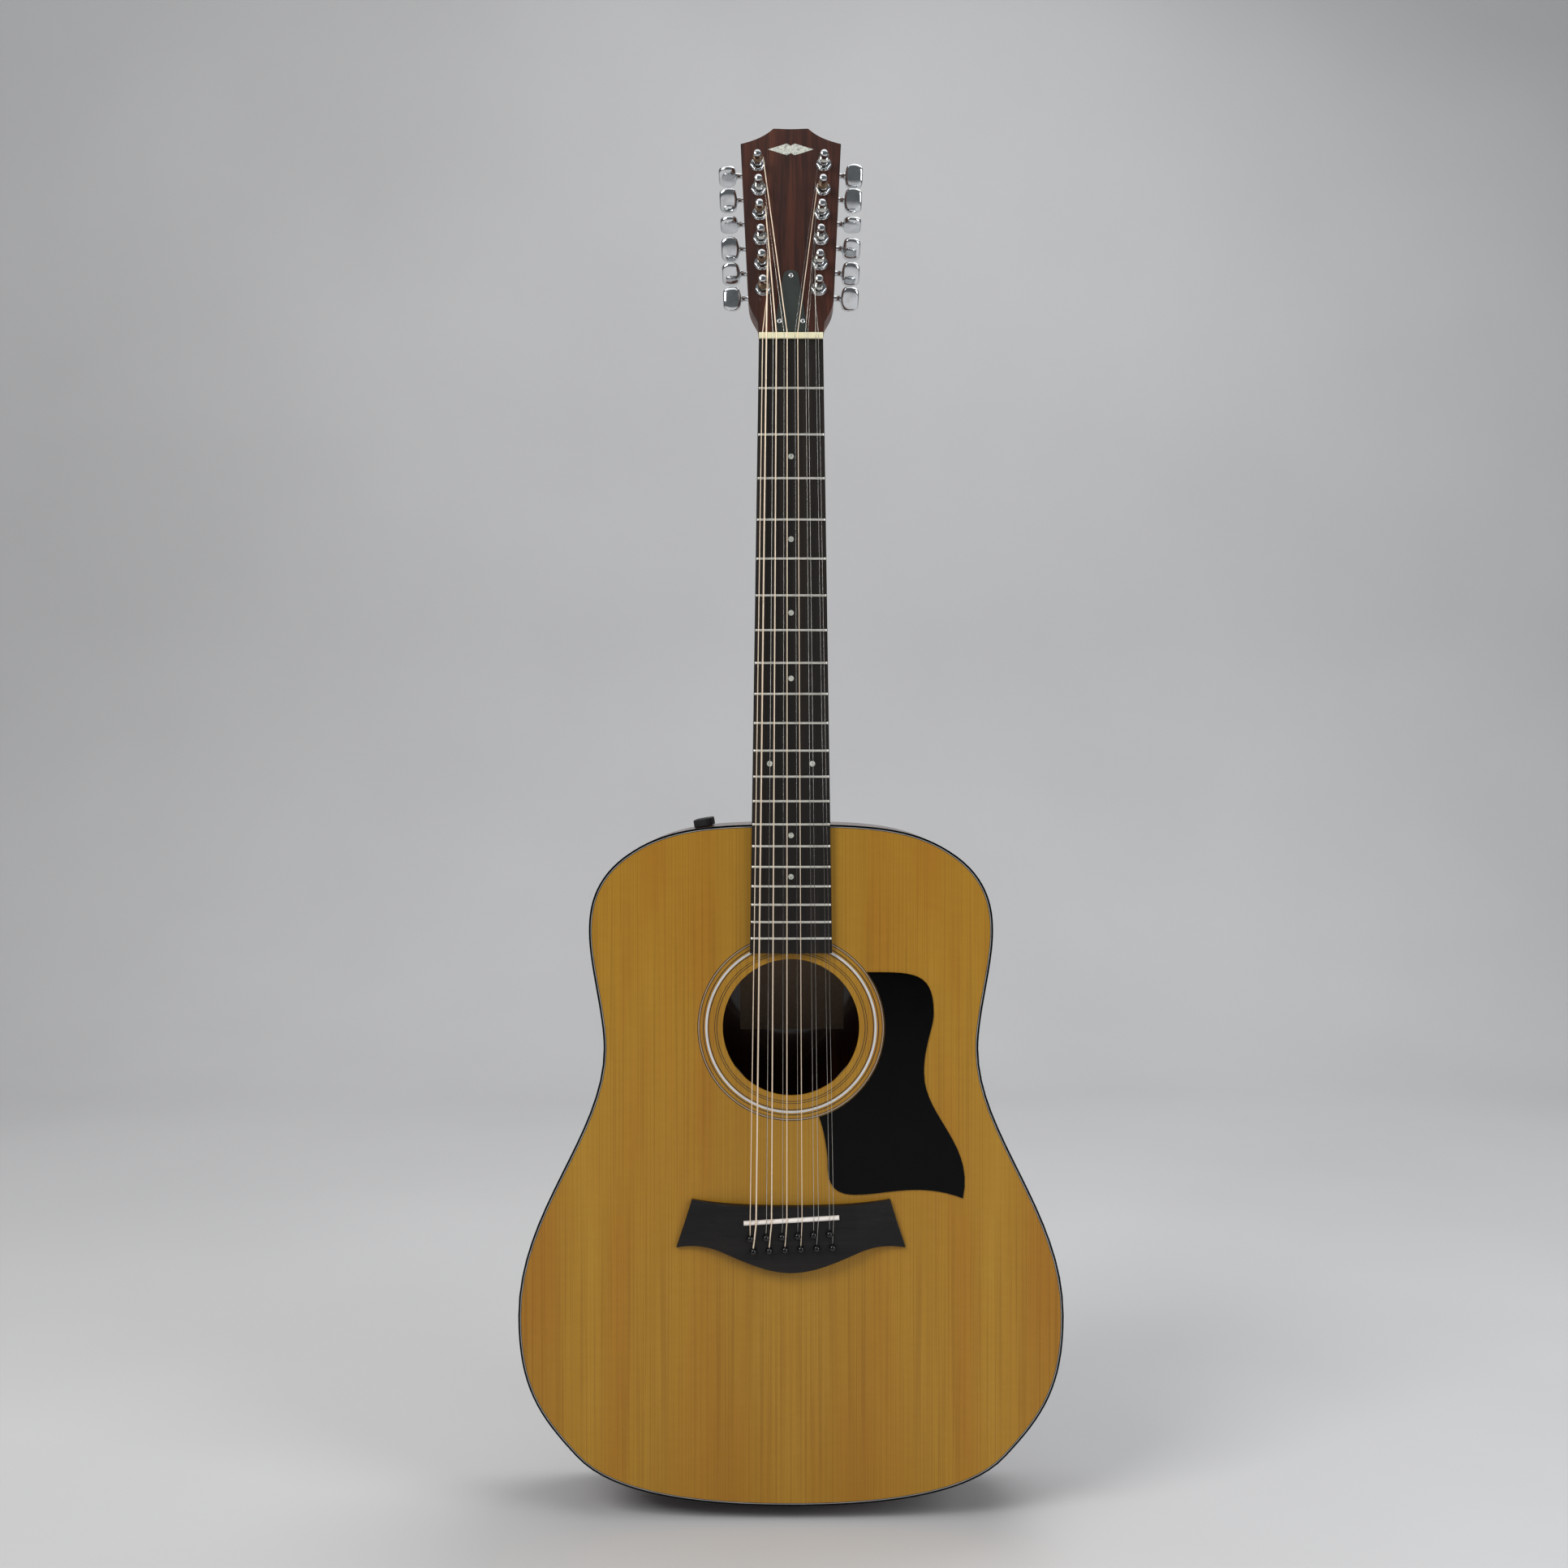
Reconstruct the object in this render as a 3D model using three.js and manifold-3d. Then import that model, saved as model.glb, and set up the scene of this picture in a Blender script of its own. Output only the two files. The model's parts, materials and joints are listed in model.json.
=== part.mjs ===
// Twelve-string dreadnought acoustic guitar with side-mounted controls.
// Millimetres. +X is the treble side, +Y runs from the soundboard to the back, +Z runs up the neck.
// While modelling, y = 0 is the soundboard's outer face and z = 0 is the tail of the body.
// The finished group is moved so that its origin is the bottom centre of its bounding box.

import * as THREE from 'three';
import { mergeVertices } from 'three/addons/utils/BufferGeometryUtils.js';
import Module from 'manifold-3d';

const wasm = await Module();
wasm.setup();

// ---------------------------------------------------------------- driving dimensions

const SCALE_LENGTH = 647.7;
const FRET_COUNT = 20;
const BODY_LENGTH = 508;
const BODY_DEPTH = 117.5;            // at the top of the back's dome
const NUT_Z = 867.2;                 // the face of the nut that the strings leave
const HEAD_ANGLE = THREE.MathUtils.degToRad(16);
const COURSES = 6;
const GLUE = 0.1;                    // gap left at each glue line
const SLIP = 0.3;                    // gap round a part that is seated in another, or in the tilted head
const HAIR = 0.001;                  // keeps a depth counted from the back below zero

// Right half of the body outline as Bezier pieces, [x, z], from the neck joint to the tail.
const BODY_HALF = [
  [[0, BODY_LENGTH], [58, 508], [90, 506], [118, 488]],
  [[118, 488], [150, 468], [150.5, 441], [150.5, 427.5]],
  [[150.5, 427.5], [150.5, 403], [139.5, 367], [139.5, 341]],
  [[139.5, 341], [139.5, 277], [203.2, 220], [203.2, 142]],
  [[203.2, 142], [203.2, 89], [188, 67], [160, 37]],
  [[160, 37], [132, 6], [61, 0], [0, 0]],
];
const OUTLINE_STEPS = 5;             // straight runs in each Bezier piece
const DOME_RADIUS = 2005;            // of the arched back
const DOME_Z = 215;                  // where the back is deepest
const BODY_MIDDLE_Z = 230;           // the back's rings close in on this point

const TOP_THICKNESS = 3;
const BACK_THICKNESS = 3;
const SIDE_THICKNESS = 2.6;
const LINING_WIDTH = 8;
const LINING_DEPTH = 12;
const BINDING_WIDTH = 2;
const BINDING_DEPTH = 6;
const SOUNDHOLE = { z: 356.8, radius: 50.8 };

const NECK_JOINT_Z = BODY_LENGTH + GLUE;
const BOARD_END_Z = 412.5;
const BOARD_THICKNESS = 6.4;
const BOARD_CAMBER_RADIUS = 381;
const NUT_HALF_WIDTH = 23.8;
const BOARD_END_HALF_WIDTH = 30.5;
const FRET = { width: 2.0, height: 1.1, crown: 0.45, seat: 0.4, inset: 0.3 };
const NECK_DEPTH = { nut: 14.6, body: 16.6 };
const HEEL = { depth: 88, startZ: 585, fullZ: 526, growth: 75, power: 3, taper: 0.4 };
const NUT = { length: 4.6, top: 8.6, slotFloor: 8.0, slotClearance: 0.15 };

const HEAD_WOOD = 14;
const OVERLAY = { thickness: 2, startS: 5.2 };
const OVERLAY_FACE = OVERLAY.thickness + SLIP;
const POST_FIRST_S = 42.7;            // distance up the head of the first pair of posts
const POST_PITCH = 21.5;
const POST_X = { first: 20.9, last: 25.3 };
const EDGE_ANGLE = THREE.MathUtils.degToRad(2.65);   // each head edge against the centreline
const POST_HOLE_RADIUS = 4.8;
const POST = { radius: 3, tip: 18, chamfer: 0.8, bore: 3.6 };
const GROOVE = { y: 9.5, radius: 2.5, bottomHalf: 2.2, topHalf: 3.5 };   // for the string
const WHEEL = { radius: 3.5, start: 16.4, end: 22.6, journal: 1.8, journalEnd: 23.6 };
const WINDING = { thickness: 1.3, heights: [8.2, 10.8] };    // of the strings wound on the posts
const WORM = { z: 5.3, y: 19.5, radius: 1.6, reach: 4.5 };
const KNOB_COLLAR = { radius: 2.6, start: 9.4 };
const BUTTON = { start: 16.5, length: 14, width: 18.7, thickness: 7, root: 2.8, edge: 1.4 };
// How far each button has been turned at rest, face down, in degrees, from the nut up the head.
const BUTTON_TURNS = { bass: [10, 58, 38, 87, 44, 75], treble: [47, 50, 61, 90, 31, 27] };
const HOUSING = {
  outer: { x: [-6, 8.8], rear: 25, z: [-6, 9] },
  inner: { x: [-5, 7], rear: 24, z: [-4.6, 7.8] },
  floor: 1.6,
  earHalfWidth: 4,
};
const FACE_NUT = { radius: 5.8, thickness: 1.8 };
const COVER_THICKNESS = 1.6;         // of the truss rod's cover
const TURNED_SIDES = 8;
const BOARD_SPANS = 4;               // flats across the fretboard's camber

const BRIDGE_HEIGHT = 8;
const BRIDGE_WING = { start: 47, end: 90, height: 2.9 };     // the top slopes down over each wing
const SADDLE = { crest: 11, thickness: 3.2, bass: [-35, 213.1], treble: [35.6, 217.3], slotDepth: 4.8 };
const PIN_ROW_FRONT = { bass: [-30.2, 201.4], treble: [28.4, 204.9] };
const PIN_ROW_REAR = { bass: [-27.9, 192.1], treble: [30.7, 194.9] };
const STRING_LIFT = 0.08;            // clearance under each string where it crosses the nut and saddle

const PICKGUARD = { face: 0.9, ringGap: 19, arcSteps: 10 };

const CONTROLS = { x: -66, tilt: THREE.MathUtils.degToRad(9.5), y: [28, 48, 68], bore: 3.5 };
const CONTROL_KNOB = { radius: 7.2, base: 0.5, top: 6.6, edge: 0.65, shaft: 3, shaftEnd: -14 };
const PREAMP = { x: [-12, 12], y: [18, 77], z: [-22, -4.6], boreEnd: -16 };
const ENDPIN = {
  y: 52,
  hole: 6.3,                         // radius of the hole through the tail
  barrel: 5.9,
  barrelEnd: 42,
  bore: 3.3,                         // for the plug
  boreEnd: 30,
  flange: [[7, -12], [7, -9.6], [4.9, -7.6], [4.9, -3.6], [7.6, -2.4], [7.6, -SLIP]],
};

// Each string: name, x at the nut, x at the saddle, diameter. Listed from the bass side to the treble side.
const STRINGS = [
  ['string_low_e_octave', -21.0, -30.2, 0.69],
  ['string_low_e', -18.2, -25.8, 1.19],
  ['string_a_octave', -13.3, -18.1, 0.46],
  ['string_a', -10.9, -14.4, 0.99],
  ['string_d_octave', -5.2, -6.2, 0.31],
  ['string_d', -2.9, -3.1, 0.76],
  ['string_g_octave', 2.9, 5.1, 0.25],
  ['string_g', 4.9, 8.1, 0.58],
  ['string_b_first', 10.7, 16.8, 0.36],
  ['string_b_second', 12.5, 20.2, 0.36],
  ['string_high_e_first', 18.2, 28.4, 0.28],
  ['string_high_e_second', 20.2, 31.4, 0.28],
];

// ---------------------------------------------------------------- finishes

const finish = (color, roughness, metalness = 0) =>
  new THREE.MeshStandardMaterial({ color, roughness, metalness });

const SPRUCE = finish('#b8873a', 0.45);
const RAW_SPRUCE = finish('#cdb083', 0.8);
const MAHOGANY = finish('#6e3d22', 0.45);
const RAW_MAHOGANY = finish('#8a5a3a', 0.8);
const ROSEWOOD = finish('#3a1f17', 0.35);
const EBONY = finish('#1f1a18', 0.5);
const BLACK_BINDING = finish('#0c0c0d', 0.3);
const BLACK_PLASTIC = finish('#101012', 0.35);
const BONE = finish('#ece6d6', 0.4);
const CHROME = finish('#d4d6d8', 0.15, 1);
const STEEL = finish('#9a9c9e', 0.4, 1);
const BRONZE = finish('#b07a45', 0.35, 1);

// ---------------------------------------------------------------- solids

// A closed solid from any closed geometry: shared vertices merged, collapsed triangles dropped.
function solidOf(geometry) {
  const bare = geometry.clone();
  bare.deleteAttribute('normal');
  bare.deleteAttribute('uv');
  const merged = mergeVertices(bare, 1e-4);
  const corners = merged.index.array;
  const kept = [];
  for (let i = 0; i < corners.length; i += 3) {
    const [a, b, c] = corners.slice(i, i + 3);
    if (a !== b && b !== c && c !== a) kept.push(a, b, c);
  }
  return new wasm.Manifold(new wasm.Mesh({
    numProp: 3,
    vertProperties: Float32Array.from(merged.attributes.position.array),
    triVerts: Uint32Array.from(kept),
  }));
}

function geometryOf(solid) {
  const mesh = solid.getMesh();
  const geometry = new THREE.BufferGeometry();
  geometry.setAttribute('position', new THREE.BufferAttribute(mesh.vertProperties.slice(), 3));
  geometry.setIndex(new THREE.BufferAttribute(mesh.triVerts.slice(), 1));
  geometry.computeVertexNormals();
  return geometry;
}

const join = (solids) => solids.reduce((whole, next) => whole.add(next));
const cut = (solid, tools) => tools.reduce((rest, tool) => rest.subtract(tool), solid);

// Moves every vertex of a geometry by a rule that gets the vertex and its number.
function warp(geometry, rule) {
  const position = geometry.attributes.position;
  const v = new THREE.Vector3();
  for (let i = 0; i < position.count; i += 1) {
    v.fromBufferAttribute(position, i);
    rule(v, i);
    position.setXYZ(i, v.x, v.y, v.z);
  }
  return geometry;
}

function blockGeometry([x0, x1], [y0, y1], [z0, z1], spans = 1) {
  return new THREE.BoxGeometry(x1 - x0, y1 - y0, z1 - z0, spans, 1, 1)
    .translate((x0 + x1) / 2, (y0 + y1) / 2, (z0 + z1) / 2);
}

const block = (xs, ys, zs) => solidOf(blockGeometry(xs, ys, zs));

// A flat plate: a closed outline in x and z, extruded from y0 to y1.
function plateGeometry(points, y0, y1, holes = []) {
  const shape = new THREE.Shape(points);
  shape.holes.push(...holes);
  return new THREE.ExtrudeGeometry(shape, { depth: y1 - y0, bevelEnabled: false })
    .rotateX(Math.PI / 2)
    .translate(0, y1, 0);
}

const plate = (points, y0, y1, holes) => solidOf(plateGeometry(points, y0, y1, holes));

// A turned piece about Y from [radius, y] points that rise in y.
function turnedGeometry(profile, sides = TURNED_SIDES) {
  return new THREE.LatheGeometry(profile.map(([r, y]) => new THREE.Vector2(r, y)), sides);
}

const alongX = (geometry) => geometry.rotateZ(-Math.PI / 2);
const alongZ = (geometry) => geometry.rotateX(Math.PI / 2);

function rod(radius, start, end, sides = TURNED_SIDES) {
  return turnedGeometry([[0, start], [radius, start], [radius, end], [0, end]], sides);
}

function bezierPoints(pieces, steps) {
  const points = [];
  for (const piece of pieces) {
    const curve = new THREE.CubicBezierCurve(...piece.map(([x, y]) => new THREE.Vector2(x, y)));
    points.push(...curve.getPoints(steps).slice(points.length ? 1 : 0));
  }
  return points;
}

function circlePoints(radius, sides, centreY = 0) {
  return Array.from({ length: sides }, (_, i) => {
    const angle = 2 * Math.PI * i / sides;
    return new THREE.Vector2(radius * Math.cos(angle), centreY + radius * Math.sin(angle));
  });
}

// The same points with their mirror images, so a right half from top to bottom becomes a closed outline.
function mirrored(half) {
  const left = half.filter((p) => p.x > 1e-6).map((p) => new THREE.Vector2(-p.x, p.y));
  return [...half, ...left.reverse()];
}

// A clockwise outline moved inwards by the same distance all round.
function inset(points, distance) {
  return points.map((p, i) => {
    const before = points.at(i - 1);
    const after = points[(i + 1) % points.length];
    const n1 = new THREE.Vector2(p.y - before.y, before.x - p.x).normalize();
    const n2 = new THREE.Vector2(after.y - p.y, p.x - after.x).normalize();
    const n = n1.clone().add(n2).normalize();
    return p.clone().addScaledVector(n, distance / n.dot(n1));
  });
}

const between = (a, b, t) => a + (b - a) * t;
const onLine = ([x0, z0], [x1, z1], x) => between(z0, z1, (x - x0) / (x1 - x0));

const model = new THREE.Group();

function addPiece(name, shape, material, parent = model) {
  const mesh = new THREE.Mesh(shape.isBufferGeometry ? shape : geometryOf(shape), material);
  mesh.name = name;
  parent.add(mesh);
  return mesh;
}

// ---------------------------------------------------------------- body

const OUTLINE = mirrored(bezierPoints(BODY_HALF, OUTLINE_STEPS));

// The back's outer face: a shallow sphere.
const backY = (x, z) => BODY_DEPTH - (x * x + (z - DOME_Z) ** 2) / (2 * DOME_RADIUS);

// A closed strip round the body. Each profile point is [inset, depth], and a negative depth is
// measured forwards from the back's outer face.
function rimStrip(profile) {
  const closed = [...profile, profile[0]];
  const rows = closed.map(([distance]) => inset(OUTLINE, distance));
  const strip = turnedGeometry(closed, OUTLINE.length);
  return solidOf(warp(strip, (v, i) => {
    const row = i % closed.length;
    const station = Math.floor(i / closed.length) % OUTLINE.length;
    const edge = OUTLINE[station];
    const depth = closed[row][1];
    v.set(rows[row][station].x, depth < 0 ? backY(edge.x, edge.y) + depth : depth, rows[row][station].y);
  }));
}

function backPlate() {
  const rings = [0, 0.35, 0.7, 1];
  const profile = [...rings.map((r) => [r, 0]), ...rings.toReversed().map((r) => [r, 1])];
  const edge = inset(OUTLINE, BINDING_WIDTH + GLUE);
  return solidOf(warp(turnedGeometry(profile, edge.length), (v, i) => {
    const [ring, outer] = profile[i % profile.length];
    const station = edge[Math.floor(i / profile.length) % edge.length];
    const x = station.x * ring;
    const z = between(BODY_MIDDLE_Z, station.y, ring);
    v.set(x, backY(x, z) - (outer ? 0 : BACK_THICKNESS), z);
  }));
}

function soundboard() {
  const hole = new THREE.Path(circlePoints(SOUNDHOLE.radius, 40, SOUNDHOLE.z));
  return plate(inset(OUTLINE, BINDING_WIDTH + GLUE), 0, TOP_THICKNESS, [hole]);
}

// What passes out through the sides is cut from this far outside to this far inside.
const THROUGH_RIM = [-20, 10];

const NECK_BLOCK = { x: 36, z: [445, 504.6] };
const TAIL_BLOCK = { x: 40, z: [4.2, 22] };
const UNDER_TOP = TOP_THICKNESS + GLUE;
const UNDER_BACK = -(BACK_THICKNESS + 5 * GLUE);      // the back's flat facets dip under the true dome

function endpinBore(radius, z0, z1) {
  return solidOf(alongZ(rod(radius, z0, z1, 16)).translate(0, ENDPIN.y, 0));
}

// Bent sides with a lining at the front and at the back, cut away at the two blocks.
function sides() {
  const lip = BINDING_DEPTH + GLUE;
  const under = BINDING_WIDTH + GLUE;
  const wall = rimStrip([
    [LINING_WIDTH, UNDER_TOP], [under, UNDER_TOP], [under, lip], [0, lip],
    [0, -lip], [under, -lip], [under, UNDER_BACK], [LINING_WIDTH, UNDER_BACK],
    [SIDE_THICKNESS, UNDER_BACK - LINING_DEPTH], [SIDE_THICKNESS, UNDER_TOP + LINING_DEPTH],
  ]);
  const through = [0, BODY_DEPTH];
  return cut(wall, [
    blockWithGap(NECK_BLOCK, through),
    blockWithGap(TAIL_BLOCK, through),
    endpinBore(ENDPIN.hole, ...THROUGH_RIM),
    ...CONTROLS.y.map(shoulderBore),
  ]);
}

const shoulderBore = (y) =>
  solidOf(controlBore(...THROUGH_RIM).translate(0, y, 0).applyMatrix4(controlMatrix()));

// A binding strip between two depths.
function binding(near, far) {
  return rimStrip([[BINDING_WIDTH, near], [0, near], [0, far], [BINDING_WIDTH, far]]);
}

function blockWithGap({ x, z: [z0, z1] }, ys) {
  return block([-x - GLUE, x + GLUE], ys, [z0 - GLUE, z1 + GLUE]);
}

function endBlock({ x, z }) {
  const middle = BODY_DEPTH / 2;
  const shape = blockGeometry([-x, x], [UNDER_TOP, BODY_DEPTH], z);
  return solidOf(warp(shape, (v) => {
    v.y = v.y > middle ? backY(v.x, v.z) + UNDER_BACK : v.y;
  }));
}

// Braces glued under the top: the [x, z] of both ends, the width on the top and the height.
const BRACES = {
  cross: { from: [-128, 416], to: [168, 83], width: 8, height: 14 },       // with its mirror image
  transverse: { from: [-136, 422], to: [136, 422], width: 14, height: 13 },
  bridgePlate: { from: [-74, 203], to: [74, 203], width: 52, height: 2.5 },
  upperTone: { from: [55, 210], to: [-95, 120], width: 6, height: 10 },
  lowerTone: { from: [100, 159], to: [-60, 72], width: 6, height: 9 },
  finger: { from: [75, 187], to: [158, 212], width: 6, height: 7 },        // with its mirror image
};

function brace({ from: [x0, z0], to: [x1, z1], width, height }, flip = 1) {
  const length = Math.hypot(x1 - x0, z1 - z0);
  return solidOf(new THREE.BoxGeometry(length, height, width)
    .rotateY(-Math.atan2(z1 - z0, flip * (x1 - x0)))
    .translate(flip * (x0 + x1) / 2, UNDER_TOP + height / 2, (z0 + z1) / 2));
}

function topBracing() {
  const { cross, transverse, bridgePlate, upperTone, lowerTone, finger } = BRACES;
  return join([
    brace(cross),
    brace(cross, -1),
    brace(transverse),
    brace(bridgePlate),
    brace(upperTone),
    brace(lowerTone),
    brace(finger),
    brace(finger, -1),
  ]);
}

// The strap pin and the jack's barrel behind it, with the plug's bore up the middle.
function endpinJack() {
  const { flange, barrel, barrelEnd, bore, boreEnd } = ENDPIN;
  const mouth = [bore, flange[0][1]];
  const shell = turnedGeometry([
    mouth, ...flange, [barrel, -SLIP], [barrel, barrelEnd],
    [0, barrelEnd], [0, boreEnd], [bore, boreEnd], mouth,
  ], 16);
  return solidOf(alongZ(shell).translate(0, ENDPIN.y, 0));
}

// ---------------------------------------------------------------- controls in the bass shoulder

// Height of the body's upper edge above x, on the faceted outline.
function shoulderZ(x) {
  const half = OUTLINE.slice(0, OUTLINE_STEPS * 2);
  const i = half.findIndex((p) => p.x > Math.abs(x));
  return onLine(half[i - 1].toArray(), half[i].toArray(), Math.abs(x));
}

// Stands a piece on the shoulder: its own +Z becomes the outward normal there.
function controlMatrix() {
  const turn = new THREE.Matrix4().makeRotationY(-CONTROLS.tilt);
  return turn.setPosition(CONTROLS.x, 0, shoulderZ(CONTROLS.x));
}

const controlBore = (z0, z1) => alongZ(rod(CONTROLS.bore, z0, z1, 12));

function addControls() {
  const group = new THREE.Group();
  group.applyMatrix4(controlMatrix());
  model.add(group);

  const box = block(PREAMP.x, PREAMP.y, PREAMP.z);
  const bores = CONTROLS.y.map((y) => solidOf(controlBore(PREAMP.boreEnd, 0).translate(0, y, 0)));
  addPiece('preamp', cut(box, bores), BLACK_PLASTIC, group);

  const { radius, base, top, edge, shaft, shaftEnd } = CONTROL_KNOB;
  const profile = [
    [0, shaftEnd], [shaft, shaftEnd], [shaft, base], [radius, base],
    [radius, top - edge], [radius - edge, top], [0, top],
  ];
  ['volume_knob', 'treble_knob', 'bass_knob'].forEach((name, i) => {
    const knob = solidOf(alongZ(turnedGeometry(profile, 16)));
    addPiece(name, knob, BLACK_PLASTIC, group).position.y = CONTROLS.y[i];
  });
}

// ---------------------------------------------------------------- neck and fretboard

const boardHalfWidth = (z) => onLine([NUT_Z, NUT_HALF_WIDTH], [BOARD_END_Z, BOARD_END_HALF_WIDTH], z);
const boardTopY = (x) => x * x / (2 * BOARD_CAMBER_RADIUS) - BOARD_THICKNESS - GLUE;
const fretZ = (n) => NUT_Z - SCALE_LENGTH * (1 - 2 ** (-n / 12));

function fret(n) {
  const z = fretZ(n);
  const reach = boardHalfWidth(z) - FRET.inset;
  const bar = new THREE.BoxGeometry(2 * reach, 1, FRET.width, BOARD_SPANS, 1, 1);
  return solidOf(warp(bar, (v) => {
    const top = v.y < 0;
    v.y = boardTopY(v.x) + (top ? -FRET.height : FRET.seat);
    v.z = z + v.z * (top ? FRET.crown : 1);
  }));
}

function fretboard() {
  const board = blockGeometry([-1, 1], [-1, 0], [BOARD_END_Z, NUT_Z], BOARD_SPANS);
  const frets = Array.from({ length: FRET_COUNT }, (_, i) => fret(i + 1));
  return join([solidOf(warp(board, (v) => {
    v.x *= boardHalfWidth(v.z);
    v.y = v.y < -0.5 ? boardTopY(v.x) : -GLUE;
  })), ...frets]);
}

// Depth of the neck behind the fretboard: a slow taper that sweeps down into the heel.
function neckDepth(z) {
  const shaft = onLine([NUT_Z, NECK_DEPTH.nut], [HEEL.startZ, NECK_DEPTH.body], Math.max(z, HEEL.startZ));
  const sweep = Math.max(0, (HEEL.startZ - z) / (HEEL.startZ - HEEL.fullZ));
  return shaft + HEEL.growth * sweep ** HEEL.power;
}

function neckShaft() {
  const stations = [NECK_JOINT_Z, 517, 523, 527, 531, 536, 542, 549, 557, 567, 580, 620, 700, 780, 840,
    NUT_Z + NUT.length + 3 * GLUE];
  const section = new THREE.Shape().absarc(0, 0, 1, 0, Math.PI, false);
  const last = stations.length - 1;
  const bar = new THREE.ExtrudeGeometry(section, {
    depth: last,
    steps: last,
    bevelEnabled: false,
    curveSegments: 10,
  });
  return solidOf(warp(bar, (v) => {
    const z = stations[Math.round(v.z)];
    const y = Math.min(v.y * neckDepth(z), HEEL.depth);
    v.set(v.x * boardHalfWidth(z) * (1 - HEEL.taper * y / HEEL.depth), y, z);
  }));
}

// The head's outline from height s upwards, [x, s] in the head's own tilted frame.
function headOutline(startS) {
  const flare = onLine([0, NUT_HALF_WIDTH], [14, 24.9], startS);
  const half = [
    ...bezierPoints([
      [[0, 181.6], [6, 181.6], [10, 182.2], [13.5, 182]],
      [[13.5, 182], [20.8, 174.4], [28, 171.5], [38.6, 168.3]],
    ], 4),
    ...bezierPoints([
      [[32.3, 38], [32, 24], [27, 20], [24.9, 14]],
    ], 5),
    new THREE.Vector2(flare, startS),
  ];
  return mirrored(half);
}

const headMatrix = () => new THREE.Matrix4().makeRotationX(-HEAD_ANGLE).setPosition(0, 0, NUT_Z);

const postX = (i) => between(POST_X.first, POST_X.last, i / (COURSES - 1));
const postS = (i) => POST_FIRST_S + POST_PITCH * i;

// Places a tuner on the head: its own +X points out across the head's edge on the treble side.
function tunerMatrix(side, i) {
  return new THREE.Matrix4().makeRotationY(side * EDGE_ANGLE).setPosition(side * postX(i), 0, postS(i));
}

function eachTuner(build) {
  return [-1, 1].flatMap((side) => Array.from({ length: COURSES }, (_, i) => build(side, i)));
}

const postHoles = () => eachTuner((side, i) =>
  rod(POST_HOLE_RADIUS, -10, HEAD_WOOD + 10).applyMatrix4(tunerMatrix(side, i)));

const TRUSS_ROD = { x: [-3.2, 3.2], y: [2.6, 9.4], z: [515, 881] };
const ROD_CHANNEL = { x: [-3.6, 3.6], y: [-1, 9.8], z: [514, 885] };
const ROD_POCKET = { x: [-4.6, 4.6], y: [-10, 10], z: [0, 23] };       // in the overlay, under the cover

function neck() {
  const head = plateGeometry(headOutline(0), 0, HEAD_WOOD).applyMatrix4(headMatrix());
  const holes = postHoles().map((hole) => solidOf(hole.applyMatrix4(headMatrix())));
  const channel = block(ROD_CHANNEL.x, ROD_CHANNEL.y, ROD_CHANNEL.z);
  return cut(neckShaft().add(solidOf(head)), [...holes, channel]);
}

function nut() {
  const width = [-NUT_HALF_WIDTH, NUT_HALF_WIDTH];
  const body = block(width, [-NUT.top, -GLUE], [NUT_Z + GLUE, NUT_Z + NUT.length]);
  const slots = STRINGS.map(([, x, , diameter]) => {
    const half = diameter / 2 + NUT.slotClearance;
    return block([x - half, x + half], [-NUT.top - 1, -NUT.slotFloor], [NUT_Z - 1, NUT_Z + NUT.length + 1]);
  });
  return cut(body, slots);
}

// ---------------------------------------------------------------- headstock

function overlay() {
  const face = plate(headOutline(OVERLAY.startS), -OVERLAY_FACE, -SLIP);
  const pocket = block(ROD_POCKET.x, ROD_POCKET.y, ROD_POCKET.z);
  return cut(face, [...postHoles().map(solidOf), pocket]);
}

function trussRodCover() {
  const half = bezierPoints([
    [[0, 57.3], [4, 57.3], [5.6, 55.2], [5.9, 52]],
    [[5.9, 52], [6.6, 46], [9.4, 28], [12.2, 8.4]],
    [[12.2, 8.4], [12.6, 6.4], [11.6, 5.8], [10, 5.8]],
  ], 3);
  return plate(mirrored(half), -OVERLAY_FACE - SLIP - COVER_THICKNESS, -OVERLAY_FACE - SLIP);
}

// The post from its tip down through the string groove to the worm wheel and its journal.
function tunerPost() {
  return solidOf(turnedGeometry([
    [0, -POST.tip],
    [POST.radius - POST.chamfer, -POST.tip],
    [POST.radius, -POST.tip + POST.chamfer],
    [POST.radius, -GROOVE.y - GROOVE.topHalf],
    [GROOVE.radius, -GROOVE.y - GROOVE.bottomHalf],
    [GROOVE.radius, -GROOVE.y + GROOVE.bottomHalf],
    [POST.radius, -GROOVE.y + GROOVE.topHalf],
    [POST.radius, WHEEL.start],
    [WHEEL.radius, WHEEL.start],
    [WHEEL.radius, WHEEL.end],
    [WHEEL.journal, WHEEL.end],
    [WHEEL.journal, WHEEL.journalEnd],
    [0, WHEEL.journalEnd],
  ]));
}

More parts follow.
